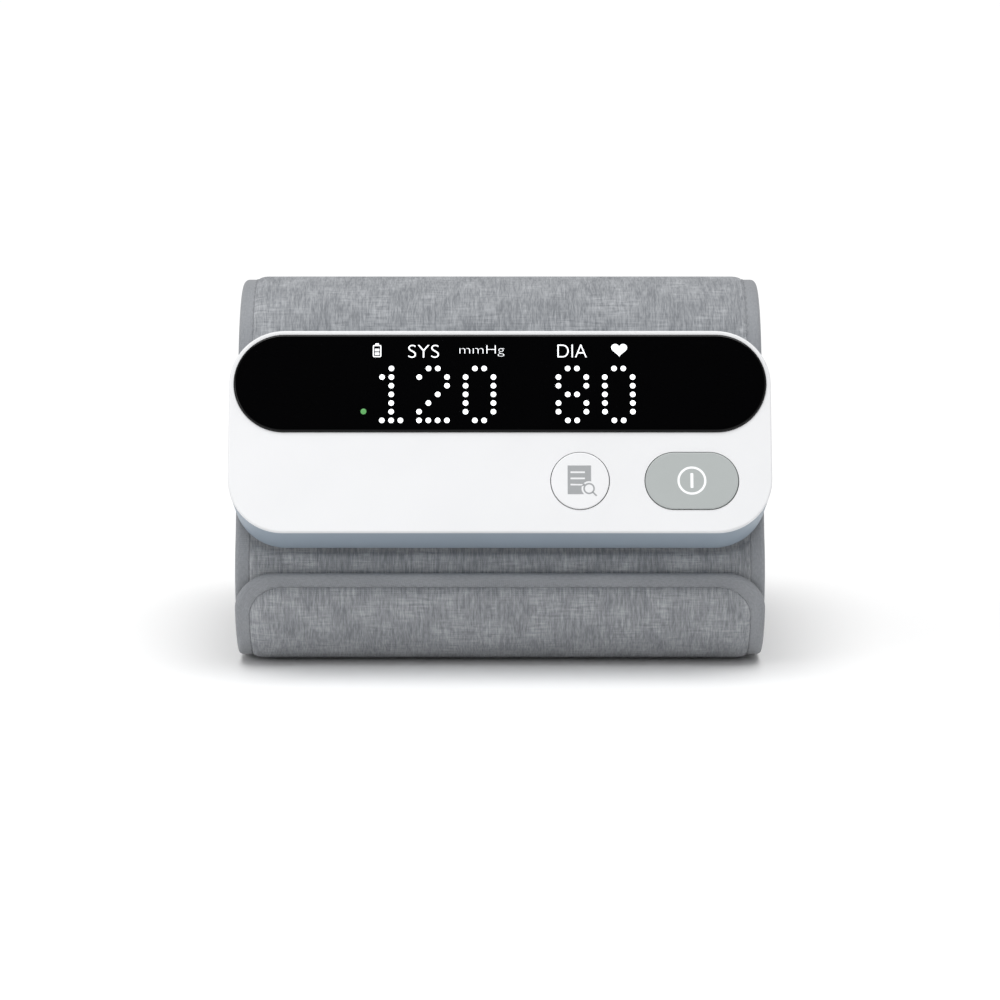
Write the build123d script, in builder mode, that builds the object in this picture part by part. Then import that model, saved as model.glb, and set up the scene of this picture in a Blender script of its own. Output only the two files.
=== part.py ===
from build123d import *
from math import cos, radians, sin
import os

os.makedirs("parts", exist_ok=True)

# An upper arm blood pressure monitor in one piece with its cuff, standing on a table.
# The monitor leans back on the front of the wrapped cuff. X runs to the right, -Y to the
# viewer and Z up, in millimetres, and the origin is the middle of the cuff's flat base.

# Monitor housing
monitor_width = 146.3
monitor_height = 55.9
monitor_depth = 21.95
lean_angle = 22.66
display_height = 27.1
display_rim = 1.25
display_step = 0.7
lens_fillet = 0.56
lens_pocket = 0.9
lens_adhesive_thickness = 0.1
cover_thickness = 2.0
cover_rim = 1.6
cover_lip = 5.0
lip_wall = 1.2
seam_gap = 0.1
front_fillet = 0.5
wall = 2.0
back_fillet = 1.0
side_draft = 0.25
fit_gap = 0.1
slip_gap = 0.02

# Buttons and their switches
button_rise = 14.05
button_height = 15.6
power_width = 25.0
power_inset = 21.65
button_spacing = 30.0
button_gap = 0.22
button_proud = 0.4
button_fillet = 0.3
button_skin = 1.4
button_wall = 1.2
button_flange = 1.0
flange_thickness = 0.8
collar_depth = 3.6
collar_wall = 1.0
flange_play = 0.05
switch_size = 6.0
switch_height = 3.0
plunger_diameter = 3.4
plunger_stand = 0.8
plunger_length = 3.0

# Display electronics
dot_columns = 28
dot_rows = 7
dot_pitch_x = 2.505
dot_pitch_y = 2.41
dot_size = 1.7
matrix_x = 1.99
matrix_drop = 18.05
emitter_height = 0.4
window_height = 23.0
window_drop = 3.65
window_radius = 3.0
window_seat = 0.5
display_board_height = 23.7
display_board_drop = 3.45
display_board_thickness = 1.0
header_length = 24.0
header_width = 5.0
label_drop = 5.9
labels = [(-33.2, 3.8, 3.9), (-20.7, 8.3, 3.7), (-4.9, 12.3, 2.9), (19.5, 7.9, 3.8), (32.2, 4.3, 3.6)]
status_led_x = -36.8
status_led_drop = 22.8
status_led_diameter = 1.8

# Main board and what it carries
board_thickness = 1.2
board_seat = 7.0
board_end_inset = 15.15
board_top_inset = 2.95
board_bottom_inset = 6.95
board_lobe_reach = 16.5
board_tongue = 12.0
board_screw_inset = 3.5
board_screw_side = 12.7
housing_screw_inset = 9.65
housing_screw_rise = 5.55
bracket_screw_inset = 10.0
bracket_screw_pitch = 36.0
bracket_screw_row = -2.2
bracket_screw_clear = 20.0
board_boss = 5.0
board_screw = 1.6
housing_boss = 6.0
housing_screw = 2.0
housing_boss_joint = 8.0
housing_screw_seat = 12.0
screw_head_height = 1.4
bracket_screw = 2.0
socket_width = 8.94
socket_height = 3.26
socket_length = 7.35
socket_wall = 0.3
socket_setback = 0.7
socket_gap = 0.18
socket_back = 1.2
tongue_width = 6.7
tongue_height = 0.7
tongue_length = 5.0

# Battery
battery_width = 52.0
battery_height = 24.0
battery_thickness = 7.0
battery_fillet = 1.75
battery_inset = 17.15
pad_width = 41.6
pad_height = 19.2
pad_thickness = 0.5
battery_rib = 1.2
battery_rib_height = 3.0

# Pump, valve and air path
motor_diameter = 15.4
motor_flats = 12.0
motor_length = 20.0
bearing_depth = 15.0
shaft_end_gap = 1.0
pump_inset = 17.15
pump_below_buttons = 0.3
motor_above_floor = 8.75
mount_wall = 1.0
mount_length = 15.0
head_length = 16.0
head_height = 14.0
head_cavity = 11.0
head_cavity_length = 7.0
shaft_diameter = 2.0
shaft_gap = 0.05
crank_diameter = 7.6
crank_offset = 0.8
crank_width = 3.0
lead_diameter = 1.6
lead_bend = 2.0
lead_run = 4.8
plug_size = 4.0
plug_height = 2.0
pump_plug_rise = 1.0
chip_thickness = 1.0
processor_size = 9.0
memory_chip_size = 5.0
chip_column = 15.0
processor_inset = 20.0
air_above_floor = 5.45
barb_diameter = 3.0
barb_length = 4.0
air_bore = 1.6
hose_diameter = 4.6
manifold_length = 16.0
valve_hose_gap = 4.0
manifold_width = 10.0
manifold_height = 7.0
manifold_foot = 9.0
valve_inset = 17.15
valve_length = 14.0
valve_width = 11.0
valve_height = 9.0
valve_plunger_diameter = 3.1
valve_plunger_length = 8.0
valve_travel = 0.8
sensor_size = 6.0
sensor_height = 2.0
sensor_port = 2.4
nipple_diameter = 5.0
nipple_bore = 3.0
nipple_flange = 11.0
seal_section = 1.16

# Cuff
cuff_width = 145.0
band_width = 4.0
band_drop = 0.9
tape = 0.6
edge_fold = 0.8
fabric = 1.2
stiffener = 0.8
bladder = 1.6
lining = 1.0
flap_thickness = 3.0
layer_gap = 0.3
base_length = 50.0
flap_bend_radius = 24.9
seat_length = 56.0
seat_offset = 0.59
top_bend_radius = 29.4
ramp_length = 6.0
tail_y = 1.0
loop_split_angle = -10.0
hinge_angle = -43.5
flap_tip_angle = 7.05
flap_corner = 11.0
stiffener_inset = 1.5
bladder_inset = 6.5
hook_thickness = 0.8
bracket_inset = 9.0
bracket_height = 40.0

# Places that follow from these sizes, seen from the front: x from the middle, y up the face
half_width = monitor_width / 2
half_height = monitor_height / 2
corner_radius = display_height / 2 + display_rim
display_width = monitor_width - 2 * display_rim
display_y = half_height - display_rim - display_height / 2
button_row = button_rise - half_height
power_x = half_width - power_inset
memory_x = power_x - button_spacing
board_half_width = half_width - board_end_inset
board_top = half_height - board_top_inset
board_bottom = board_bottom_inset - half_height
board_step_x = memory_x - board_lobe_reach
board_screw_x = board_half_width - board_screw_inset
processor_x = board_half_width - processor_inset
display_board_width = 2 * (board_screw_x - board_boss / 2 - layer_gap)
display_board_y = half_height - display_board_drop - display_board_height / 2
window_width = display_board_width - 2 * window_seat
window_y = half_height - window_drop - window_height / 2
matrix_y = half_height - matrix_drop
label_row = half_height - label_drop
status_led_spot = (status_led_x, half_height - status_led_drop)
between_buttons_x = memory_x + board_screw_side
battery_x = battery_inset + battery_width / 2 - half_width
motor_depth = monitor_depth - wall - motor_above_floor
air_depth = monitor_depth - wall - air_above_floor
motor_end_x = pump_inset + motor_length - half_width
head_end_x = motor_end_x + head_length
pump_y = button_row - pump_below_buttons
valve_x = half_width - valve_inset - valve_length / 2
valve_left = valve_x - valve_length / 2
crank_start = (head_cavity_length - crank_width) / 2
manifold_right = valve_left - 2 * barb_length - valve_hose_gap
manifold_left = manifold_right - manifold_length
manifold_x = manifold_right - manifold_length / 2
panel_half = cuff_width / 2 - band_width
bracket_width = 2 * (panel_half - stiffener_inset - bracket_inset)
bracket_screw_x = bracket_width / 2 - bracket_screw_inset
board_screw_spots = [
    (-board_screw_x, display_y),
    (board_screw_x, display_y),
    (between_buttons_x, button_row),
    (memory_x - board_screw_side, button_row),
]
housing_screw_spots = [
    (housing_screw_inset - half_width, half_height - housing_screw_inset),
    (half_width - housing_screw_inset, half_height - housing_screw_inset),
    (housing_screw_inset - half_width, housing_screw_inset - half_height),
    (between_buttons_x, housing_screw_rise - half_height),
]
bracket_screw_spots = [
    (-bracket_screw_x, bracket_screw_row),
    (bracket_screw_pitch - bracket_screw_x, bracket_screw_row),
    (battery_x + battery_width / 2 + bracket_screw_clear, display_y),
    (bracket_screw_x, display_y),
]

# Cuff path, in the YZ plane, seen from the left: the strip's outer face
thin = fabric + stiffener + lining
thick = fabric + stiffener + bladder + lining
bend_centre = Vector(-base_length / 2, flap_bend_radius)
inner_bend_radius = flap_bend_radius - flap_thickness - layer_gap
face_out = Vector(-cos(radians(lean_angle)), sin(radians(lean_angle)))
face_up = Vector(sin(radians(lean_angle)), cos(radians(lean_angle)))
seat_start = bend_centre + face_out * inner_bend_radius
seat_end = seat_start + face_up * seat_length
top_centre = seat_end - face_out * top_bend_radius
crest_height = top_centre.Y + top_bend_radius
back_radius = (crest_height + base_length / 2 - top_centre.X) / 2
heel_radius = crest_height - back_radius
back_centre = Vector(top_centre.X, crest_height - back_radius)
heel_centre = Vector(base_length / 2, heel_radius)
floor_in = Vector(0, 1)
tail_height = flap_thickness + layer_gap

# Every bend: its centre, the radius of the outer face, where it starts and ends, as angles
# about the centre, and whether the strip holds the air bladder there
bends = {
    "under": (bend_centre, inner_bend_radius, 270, 180 - loop_split_angle, False),
    "front": (bend_centre, inner_bend_radius, 180 - loop_split_angle, 180 - lean_angle, False),
    "top": (top_centre, top_bend_radius, 180 - lean_angle, 90, True),
    "back": (back_centre, back_radius, 90, 0, True),
    "heel": (heel_centre, heel_radius, 0, -90, True),
    "toe": (bend_centre, flap_bend_radius, 270, 180 - hinge_angle, False),
    "flap": (bend_centre, flap_bend_radius, 180 - hinge_angle, 180 - flap_tip_angle, False),
}

# Every straight run: its two ends, the way into the strip, and the bladder's place at each end
runs = {
    "tail": (
        Vector(tail_y, tail_height), Vector(-base_length / 2, tail_height), floor_in, False, False,
    ),
    "ramp in": (seat_start, seat_start + face_up * ramp_length, -face_out, False, True),
    "seat": (seat_start + face_up * ramp_length, seat_end, -face_out, True, True),
    "ramp out": (
        Vector(base_length / 2, 0), Vector(base_length / 2 - ramp_length, 0), floor_in, True, False,
    ),
    "floor": (
        Vector(base_length / 2 - ramp_length, 0), Vector(-base_length / 2, 0), floor_in, False, False,
    ),
}
loop_wrap = ["tail", "under"]
bladder_wrap = ["seat", "top", "back", "heel"]
outer_wrap = ["front", "ramp in"] + bladder_wrap + ["ramp out", "floor", "toe"]
whole_wrap = loop_wrap + outer_wrap


def on_bend(centre, radius, angle):
    return centre + Vector(cos(radians(angle)), sin(radians(angle))) * radius


def draw_wrap(zones, thin_depth, thick_depth):
    """One face of a cuff layer, this far in from the outer face; gives its first and last point."""
    ends = []
    for zone in zones:
        if zone in bends:
            centre, radius, first, last, has_bladder = bends[zone]
            layer_radius = radius - (thick_depth if has_bladder else thin_depth)
            CenterArc(centre, layer_radius, first, last - first)
            ends += [on_bend(centre, layer_radius, first), on_bend(centre, layer_radius, last)]
        else:
            start, end, inward, thick_start, thick_end = runs[zone]
            start = start + inward * (thick_depth if thick_start else thin_depth)
            end = end + inward * (thick_depth if thick_end else thin_depth)
            Line(start, end)
            ends += [start, end]
    return ends[0], ends[-1]


def layer_section(zones, outer, inner, at_x=0.0):
    """The cut through one cuff layer; outer and inner are its depths in the thin and thick zones."""
    with BuildSketch(Plane.YZ.offset(at_x)) as section:
        with BuildLine():
            outer_first, outer_last = draw_wrap(zones, *outer)
            inner_first, inner_last = draw_wrap(zones, *inner)
            Line(outer_first, inner_first)
            Line(outer_last, inner_last)
        make_face()
    return section.sketch


# The monitor's own frame: its origin is the middle of the front face, x to the right,
# y up the face and z out of it
face_middle = seat_start + face_out * monitor_depth + face_up * (seat_offset + monitor_height / 2)
monitor = Plane(
    origin=(0, face_middle.X, face_middle.Y),
    x_dir=(1, 0, 0),
    z_dir=(0, face_out.X, face_out.Y),
)
floor_level = -monitor_depth + wall
seam_level = -cover_rim - seam_gap
board_rear = -board_seat - board_thickness
socket_level = board_rear - socket_height / 2
socket_end = half_width - socket_setback
bracket_inner = -monitor_depth - fabric - stiffener


def level(height):
    """A plane parallel to the front face, this far out of it."""
    return monitor.offset(height)


def across(x, y, height):
    """A plane that faces right, with its x up the monitor's face and its y out of the face."""
    return Plane(
        origin=monitor.from_local_coords((x, y, height)),
        x_dir=(0, face_up.X, face_up.Y),
        z_dir=(1, 0, 0),
    )


def housing_outline(inset=0.0):
    RectangleRounded(monitor_width - 2 * inset, monitor_height - 2 * inset, corner_radius - inset)


def power_outline(grow=0.0):
    with Locations((power_x, button_row)):
        SlotOverall(power_width + 2 * grow, button_height + 2 * grow)


def memory_outline(grow=0.0):
    with Locations((memory_x, button_row)):
        Circle(button_height / 2 + grow)


def save(part, name):
    part.label = name
    export_step(part, f"parts/{name}.step")


# Front cover: the white face plate, with the display's pocket, the button holes and their
# guide collars, the lip that goes into the rear tray, and the screw bosses
with BuildPart() as front_housing:
    with BuildSketch(level(0)):
        housing_outline()
    extrude(amount=-cover_rim)
    fillet(front_housing.edges().group_by(Axis(monitor.origin, monitor.z_dir))[-1], front_fillet)
    with BuildSketch(level(-cover_rim)):
        housing_outline(wall + fit_gap)
    extrude(amount=cover_rim - cover_lip)
    with BuildSketch(level(-cover_thickness)):
        housing_outline(wall + fit_gap + lip_wall)
    extrude(amount=cover_thickness - cover_lip, mode=Mode.SUBTRACT)
    with BuildSketch(level(-cover_thickness)):
        power_outline(collar_wall)
        memory_outline(collar_wall)
    extrude(amount=cover_thickness - collar_depth)
    with BuildSketch(level(-cover_thickness)):
        with Locations(board_screw_spots):
            Circle(board_boss / 2)
    extrude(amount=cover_thickness - board_seat)
    with BuildSketch(level(-cover_thickness)):
        with Locations(housing_screw_spots):
            Circle(housing_boss / 2)
    extrude(amount=cover_thickness - housing_boss_joint)
    with BuildSketch(level(0)):
        power_outline(button_gap)
        memory_outline(button_gap)
    extrude(amount=-collar_depth, mode=Mode.SUBTRACT)
    with BuildSketch(level(0)):
        with Locations((0, display_y)):
            SlotOverall(display_width + 2 * fit_gap, display_height + 2 * fit_gap)
    extrude(amount=-lens_pocket, mode=Mode.SUBTRACT)
    with BuildSketch(level(0)):
        with Locations((0, window_y)):
            RectangleRounded(window_width, window_height, window_radius)
    extrude(amount=-cover_thickness, mode=Mode.SUBTRACT)
    with BuildSketch(level(-board_seat)):
        with Locations(board_screw_spots):
            Circle(board_screw / 2 + slip_gap)
    extrude(amount=board_seat - cover_thickness - fit_gap, mode=Mode.SUBTRACT)
    with BuildSketch(level(-housing_boss_joint)):
        with Locations(housing_screw_spots):
            Circle(housing_screw / 2 + slip_gap)
    extrude(amount=housing_boss_joint - cover_thickness - fit_gap, mode=Mode.SUBTRACT)
save(front_housing.part, "front_housing")

# Rear tray: drafted walls, the floor that lies on the cuff, screw towers with their
# counterbores, and the ribs that hold the battery, the motor and the valve
with BuildPart() as rear_housing:
    with BuildSketch(level(seam_level)):
        housing_outline()
    with BuildSketch(level(-monitor_depth)):
        housing_outline(side_draft)
    loft()
    fillet(rear_housing.edges().group_by(Axis(monitor.origin, monitor.z_dir))[0], back_fillet)
    with BuildSketch(level(floor_level)):
        housing_outline(wall)
    extrude(amount=seam_level - floor_level, mode=Mode.SUBTRACT)
    with BuildSketch(level(floor_level)):
        with Locations(housing_screw_spots):
            Circle(housing_boss / 2)
    extrude(amount=-housing_boss_joint - seam_gap - floor_level)
    with BuildSketch(level(floor_level)):
        with Locations((battery_x, display_y)):
            Rectangle(
                battery_width + 2 * (fit_gap + battery_rib), battery_height + 2 * (fit_gap + battery_rib)
            )
            Rectangle(
                battery_width + 2 * fit_gap, battery_height + 2 * fit_gap, mode=Mode.SUBTRACT
            )
    extrude(amount=battery_rib_height)
    with BuildSketch(level(floor_level)):
        with Locations((motor_end_x - motor_length / 2, pump_y)):
            with GridLocations(mount_length - battery_rib, 0, 2, 1):
                Rectangle(battery_rib, motor_diameter)
        with Locations((motor_end_x + head_length / 2, pump_y)):
            with GridLocations(head_length - battery_rib, 0, 2, 1):
                Rectangle(battery_rib, motor_diameter)
        with Locations((valve_x, pump_y)):
            with GridLocations(valve_length - battery_rib, 0, 2, 1):
                Rectangle(battery_rib, valve_width)
    extrude(amount=battery_rib_height)
    with BuildSketch(across(motor_end_x - motor_length, pump_y, -motor_depth)):
        Rectangle(motor_diameter + 2 * mount_wall, motor_flats + 2 * mount_wall)
    extrude(amount=motor_length, mode=Mode.SUBTRACT)
    with BuildSketch(across(motor_end_x, pump_y, -motor_depth)):
        Rectangle(motor_diameter, head_height)
    extrude(amount=head_length, mode=Mode.SUBTRACT)
    with BuildSketch(across(valve_x - valve_length / 2, pump_y, -air_depth)):
        Rectangle(valve_width, valve_height)
    extrude(amount=valve_length, mode=Mode.SUBTRACT)
    with BuildSketch(level(-monitor_depth)):
        with Locations(housing_screw_spots):
            Circle(housing_screw / 2 + fit_gap)
        with Locations(bracket_screw_spots):
            Circle(bracket_screw / 2 + fit_gap)
        with Locations((manifold_x, pump_y)):
            Circle(nipple_diameter / 2 + fit_gap)
    extrude(amount=monitor_depth - housing_boss_joint, mode=Mode.SUBTRACT)
    with BuildSketch(level(-monitor_depth)):
        with Locations(housing_screw_spots):
            Circle(housing_screw + fit_gap)
    extrude(amount=monitor_depth - housing_screw_seat, mode=Mode.SUBTRACT)
    with BuildSketch(across(half_width - wall, 0, socket_level)):
        SlotOverall(socket_width + 2 * socket_gap, socket_height + 2 * socket_gap)
    extrude(amount=2 * wall, both=True, mode=Mode.SUBTRACT)
save(rear_housing.part, "rear_housing")

# Display lens: a black stadium that stands a little proud of the face, with a rounded edge
with BuildPart() as display_lens:
    with BuildSketch(level(lens_adhesive_thickness - lens_pocket)):
        with Locations((0, display_y)):
            SlotOverall(display_width, display_height)
    extrude(amount=lens_pocket - lens_adhesive_thickness + display_step)
    fillet(display_lens.edges().group_by(Axis(monitor.origin, monitor.z_dir))[-1], lens_fillet)
save(display_lens.part, "display_lens")

# Adhesive tape ring under the lens
with BuildPart() as lens_adhesive:
    with BuildSketch(level(-lens_pocket)):
        with Locations((0, display_y)):
            SlotOverall(display_width, display_height)
        with Locations((0, window_y)):
            RectangleRounded(window_width, window_height, window_radius, mode=Mode.SUBTRACT)
    extrude(amount=lens_adhesive_thickness)
save(lens_adhesive.part, "lens_adhesive")

# Display board behind the window, with the dot emitters' carrier on it
led_level = -lens_pocket - emitter_height
with BuildPart() as display_board:
    with BuildSketch(level(-cover_thickness)):
        with Locations((0, display_board_y)):
            Rectangle(display_board_width, display_board_height)
    extrude(amount=-display_board_thickness)
save(display_board.part, "display_board")

with BuildPart() as led_array:
    with BuildSketch(level(-cover_thickness)):
        with Locations((0, window_y)):
            RectangleRounded(
                window_width - 2 * fit_gap, window_height - 2 * fit_gap, window_radius - fit_gap
            )
    extrude(amount=led_level + cover_thickness)
    with BuildSketch(level(led_level)):
        with Locations((matrix_x, matrix_y)):
            with GridLocations(dot_pitch_x, dot_pitch_y, dot_columns, dot_rows):
                Rectangle(dot_size, dot_size)
    extrude(amount=emitter_height)
save(led_array.part, "led_array")

with BuildPart() as label_lights:
    with BuildSketch(level(led_level)):
        for label_x, label_width, label_height in labels:
            with Locations((label_x, label_row)):
                Rectangle(label_width, label_height)
    extrude(amount=emitter_height)
save(label_lights.part, "label_lights")

with BuildPart() as status_led:
    with BuildSketch(level(led_level)):
        with Locations(status_led_spot):
            Circle(status_led_diameter / 2)
    extrude(amount=emitter_height)
save(status_led.part, "status_led")

# Header between the display board and the main board
with BuildPart() as display_header:
    with BuildSketch(level(-cover_thickness - display_board_thickness)):
        with Locations((0, display_y)):
            Rectangle(header_length, header_width)
    extrude(amount=cover_thickness + display_board_thickness - board_seat)
save(display_header.part, "display_header")

# Main board: a strip behind the display, a lobe under the buttons, a tongue to the socket
with BuildPart() as main_board:
    with BuildSketch(level(-board_seat)):
        with BuildLine():
            Polyline(
                (-board_half_width, board_top),
                (-board_half_width, 0),
                (board_step_x, 0),
                (board_step_x, board_bottom),
                (board_half_width, board_bottom),
                (board_half_width, board_top),
                close=True,
            )
        make_face()
        with Locations((board_half_width, 0)):
            Rectangle(
                half_width - wall - fit_gap - board_half_width,
                board_tongue,
                align=(Align.MIN, Align.CENTER),
            )
        with Locations(housing_screw_spots):
            Circle(housing_boss / 2 + 2 * fit_gap, mode=Mode.SUBTRACT)
        with Locations(board_screw_spots):
            Circle(board_screw / 2 + fit_gap, mode=Mode.SUBTRACT)
    extrude(amount=-board_thickness)
save(main_board.part, "main_board")

# Chips on the back of the board, in the corner that the battery and the leads leave free
with BuildPart() as board_chips:
    with BuildSketch(level(board_rear)):
        with Locations((processor_x, display_y)):
            Rectangle(processor_size, processor_size)
        with Locations((processor_x - chip_column, display_y)):
            with GridLocations(0, processor_size, 1, 2):
                Rectangle(memory_chip_size, memory_chip_size)
    extrude(amount=-chip_thickness)
save(board_chips.part, "board_chips")


def pan_head_screws(spots, head_level, shank_end, diameter, head_up):
    """Pan-head screws that share one seat: head_up is 1 where the head stands out of the face."""
    with BuildPart() as screws:
        with BuildSketch(level(head_level)):
            with Locations(spots):
                Circle(diameter)
        extrude(amount=head_up * screw_head_height)
        crown = screws.faces().group_by(Axis(monitor.origin, monitor.z_dir * head_up))[-1]
        fillet(crown.edges(), diameter / 5)
        with BuildSketch(level(head_level + head_up * screw_head_height)):
            with Locations(spots):
                Rectangle(diameter * 1.2, diameter / 5)
                Rectangle(diameter / 5, diameter * 1.2)
        extrude(amount=-head_up * screw_head_height / 2, mode=Mode.SUBTRACT)
        with BuildSketch(level(head_level)):
            with Locations(spots):
                Circle(diameter / 2)
        extrude(amount=shank_end - head_level)
    return screws.part


save(
    pan_head_screws(
        board_screw_spots, board_rear, -cover_thickness - 2 * fit_gap, board_screw, -1
    ),
    "board_screws",
)
save(
    pan_head_screws(
        housing_screw_spots, -housing_screw_seat, -cover_thickness - 2 * fit_gap, housing_screw, -1
    ),
    "housing_screws",
)
save(
    pan_head_screws(bracket_screw_spots, floor_level, bracket_inner, bracket_screw, 1),
    "bracket_screws",
)

# Buttons: a cap with a skirt, a flange that keeps it behind the collar, and a centre stem
stem_end = -board_seat + switch_height + plunger_stand


def button(outline):
    with BuildPart() as cap:
        with BuildSketch(level(button_proud)):
            outline()
        extrude(amount=-button_proud - collar_depth - flange_play - flange_thickness)
        fillet(cap.edges().group_by(Axis(monitor.origin, monitor.z_dir))[-1], button_fillet)
        with BuildSketch(level(-collar_depth - flange_play)):
            outline(button_flange)
        extrude(amount=-flange_thickness)
        with BuildSketch(level(button_proud - button_skin)):
            outline(-button_wall)
        extrude(amount=-monitor_depth / 2, mode=Mode.SUBTRACT)
        with BuildSketch(level(button_proud - button_skin)):
            with Locations((power_x if outline is power_outline else memory_x, button_row)):
                Circle(plunger_diameter / 2 + fit_gap)
        extrude(amount=stem_end - button_proud + button_skin)
    return cap.part


def switch_body(x):
    with BuildPart() as body:
        with BuildSketch(level(-board_seat)):
            with Locations((x, button_row)):
                Rectangle(switch_size, switch_size)
        extrude(amount=switch_height)
        chamfer(body.edges().filter_by(Axis(monitor.origin, monitor.z_dir)), switch_size / 12)
        with BuildSketch(level(-board_seat)):
            with Locations((x, button_row)):
                Circle(plunger_diameter / 2 + fit_gap)
        extrude(amount=switch_height, mode=Mode.SUBTRACT)
    return body.part


def switch_plunger(x):
    with BuildPart() as plunger:
        with BuildSketch(level(stem_end)):
            with Locations((x, button_row)):
                Circle(plunger_diameter / 2)
        extrude(amount=-plunger_length)
    return plunger.part


save(button(power_outline), "power_button")
save(button(memory_outline), "memory_button")
save(switch_body(power_x), "power_switch")
save(switch_body(memory_x), "memory_switch")
save(switch_plunger(power_x), "power_plunger")
save(switch_plunger(memory_x), "memory_plunger")

# Charging socket on the back of the board's tongue, facing right through the side wall:
# a stamped shell round a plastic contact tongue
with BuildPart() as charging_socket:
    with BuildSketch(across(socket_end, 0, socket_level)):
        SlotOverall(socket_width, socket_height)
    extrude(amount=-socket_length)
    with BuildSketch(across(socket_end, 0, socket_level)):
        SlotOverall(socket_width - 2 * socket_wall, socket_height - 2 * socket_wall)
    extrude(amount=-socket_length, mode=Mode.SUBTRACT)
save(charging_socket.part, "charging_socket")

with BuildPart() as socket_tongue:
    with BuildSketch(across(socket_end - socket_length, 0, socket_level)):
        SlotOverall(socket_width - 2 * socket_wall, socket_height - 2 * socket_wall)
    extrude(amount=socket_back)
    with BuildSketch(across(socket_end - socket_length + socket_back, 0, socket_level)):
        Rectangle(tongue_width, tongue_height)
    extrude(amount=tongue_length)
save(socket_tongue.part, "socket_tongue")

# Battery on its pad
with BuildPart() as battery_pad:
    with BuildSketch(level(floor_level)):
        with Locations((battery_x, display_y)):
            Rectangle(pad_width, pad_height)
    extrude(amount=pad_thickness)
save(battery_pad.part, "battery_pad")

with BuildPart() as battery:
    with BuildSketch(level(floor_level + pad_thickness)):
        with Locations((battery_x, display_y)):
            Rectangle(battery_width, battery_height)
    extrude(amount=battery_thickness)
    fillet(battery.edges().filter_by(Axis.X), battery_fillet)
save(battery.part, "battery")

# Pump: a flat-sided motor in a rubber sleeve, its crank, and the pump head with its nozzle
with BuildPart() as pump_motor:
    with BuildSketch(across(motor_end_x, pump_y, -motor_depth)):
        Circle(motor_diameter / 2)
        Rectangle(motor_diameter, motor_flats, mode=Mode.INTERSECT)
    extrude(amount=-motor_length)
    with BuildSketch(across(motor_end_x - motor_length, pump_y, -motor_depth)):
        Circle(motor_diameter / 5)
    extrude(amount=-battery_rib)
    with BuildSketch(across(motor_end_x, pump_y, -motor_depth)):
        Circle(shaft_diameter / 2 + shaft_gap)
    extrude(amount=-bearing_depth - shaft_end_gap, mode=Mode.SUBTRACT)
save(pump_motor.part, "pump_motor")

with BuildPart() as pump_mount:
    with BuildSketch(across(motor_end_x - motor_length / 2 - mount_length / 2, pump_y, -motor_depth)):
        RectangleRounded(
            motor_diameter + 2 * mount_wall, motor_flats + 2 * mount_wall, motor_flats / 2
        )
        Circle(motor_diameter / 2, mode=Mode.SUBTRACT)
        with Locations((0, motor_flats / 2 + mount_wall / 2), (0, -motor_flats / 2 - mount_wall / 2)):
            Rectangle(motor_flats, mount_wall)
    extrude(amount=mount_length)
save(pump_mount.part, "pump_mount")

with BuildPart() as pump_crank:
    with BuildSketch(across(motor_end_x - bearing_depth, pump_y, -motor_depth)):
        Circle(shaft_diameter / 2)
    extrude(amount=bearing_depth + crank_start + crank_width)
    with BuildSketch(across(motor_end_x + crank_start, pump_y, -motor_depth)):
        with Locations((0, -crank_offset)):
            Circle(crank_diameter / 2)
    extrude(amount=crank_width)
save(pump_crank.part, "pump_crank")

with BuildPart() as pump_head:
    with BuildSketch(across(motor_end_x, pump_y, -motor_depth)):
        RectangleRounded(motor_diameter, head_height, motor_flats / 4)
    extrude(amount=head_length)
    with BuildSketch(across(head_end_x, pump_y, -air_depth)):
        Circle(barb_diameter / 2)
    extrude(amount=barb_length)
    with BuildSketch(across(head_end_x + barb_length, pump_y, -air_depth)):
        Circle(air_bore / 2)
    extrude(amount=-barb_length - head_length / 4, mode=Mode.SUBTRACT)
    with BuildSketch(across(motor_end_x, pump_y, -motor_depth)):
        Circle(head_cavity / 2)
    extrude(amount=head_cavity_length, mode=Mode.SUBTRACT)
save(pump_head.part, "pump_head")

# Air manifold on the tray floor: it joins the pump, the valve, the sensor and the cuff
manifold_top = -air_depth + manifold_height / 2
socket_depth = floor_level + manifold_foot / 3
with BuildPart() as air_manifold:
    with BuildSketch(across(manifold_left, pump_y, -air_depth)):
        RectangleRounded(manifold_width, manifold_height, barb_diameter / 3)
    extrude(amount=manifold_length)
    with BuildSketch(level(floor_level)):
        with Locations((manifold_x, pump_y)):
            Circle(manifold_foot / 2)
    extrude(amount=manifold_height / 2)
    with BuildSketch(across(manifold_left - barb_length, pump_y, -air_depth)):
        Circle(barb_diameter / 2)
    extrude(amount=manifold_length + 2 * barb_length)
    with BuildSketch(across(manifold_left - barb_length, pump_y, -air_depth)):
        Circle(air_bore / 2)
    extrude(amount=manifold_length + 2 * barb_length, mode=Mode.SUBTRACT)
    with BuildSketch(level(floor_level)):
        with Locations((manifold_x, pump_y)):
            Circle(nipple_diameter / 2 + fit_gap)
    extrude(amount=manifold_foot / 3, mode=Mode.SUBTRACT)
    with BuildSketch(level(floor_level)):
        with Locations((manifold_x, pump_y)):
            Circle(nipple_diameter / 2 + seal_section)
    extrude(amount=seal_section + fit_gap, mode=Mode.SUBTRACT)
    with BuildSketch(level(floor_level)):
        with Locations((manifold_x, pump_y)):
            Circle(sensor_port / 2 + fit_gap)
    extrude(amount=manifold_top - floor_level, mode=Mode.SUBTRACT)
save(air_manifold.part, "air_manifold")

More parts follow.
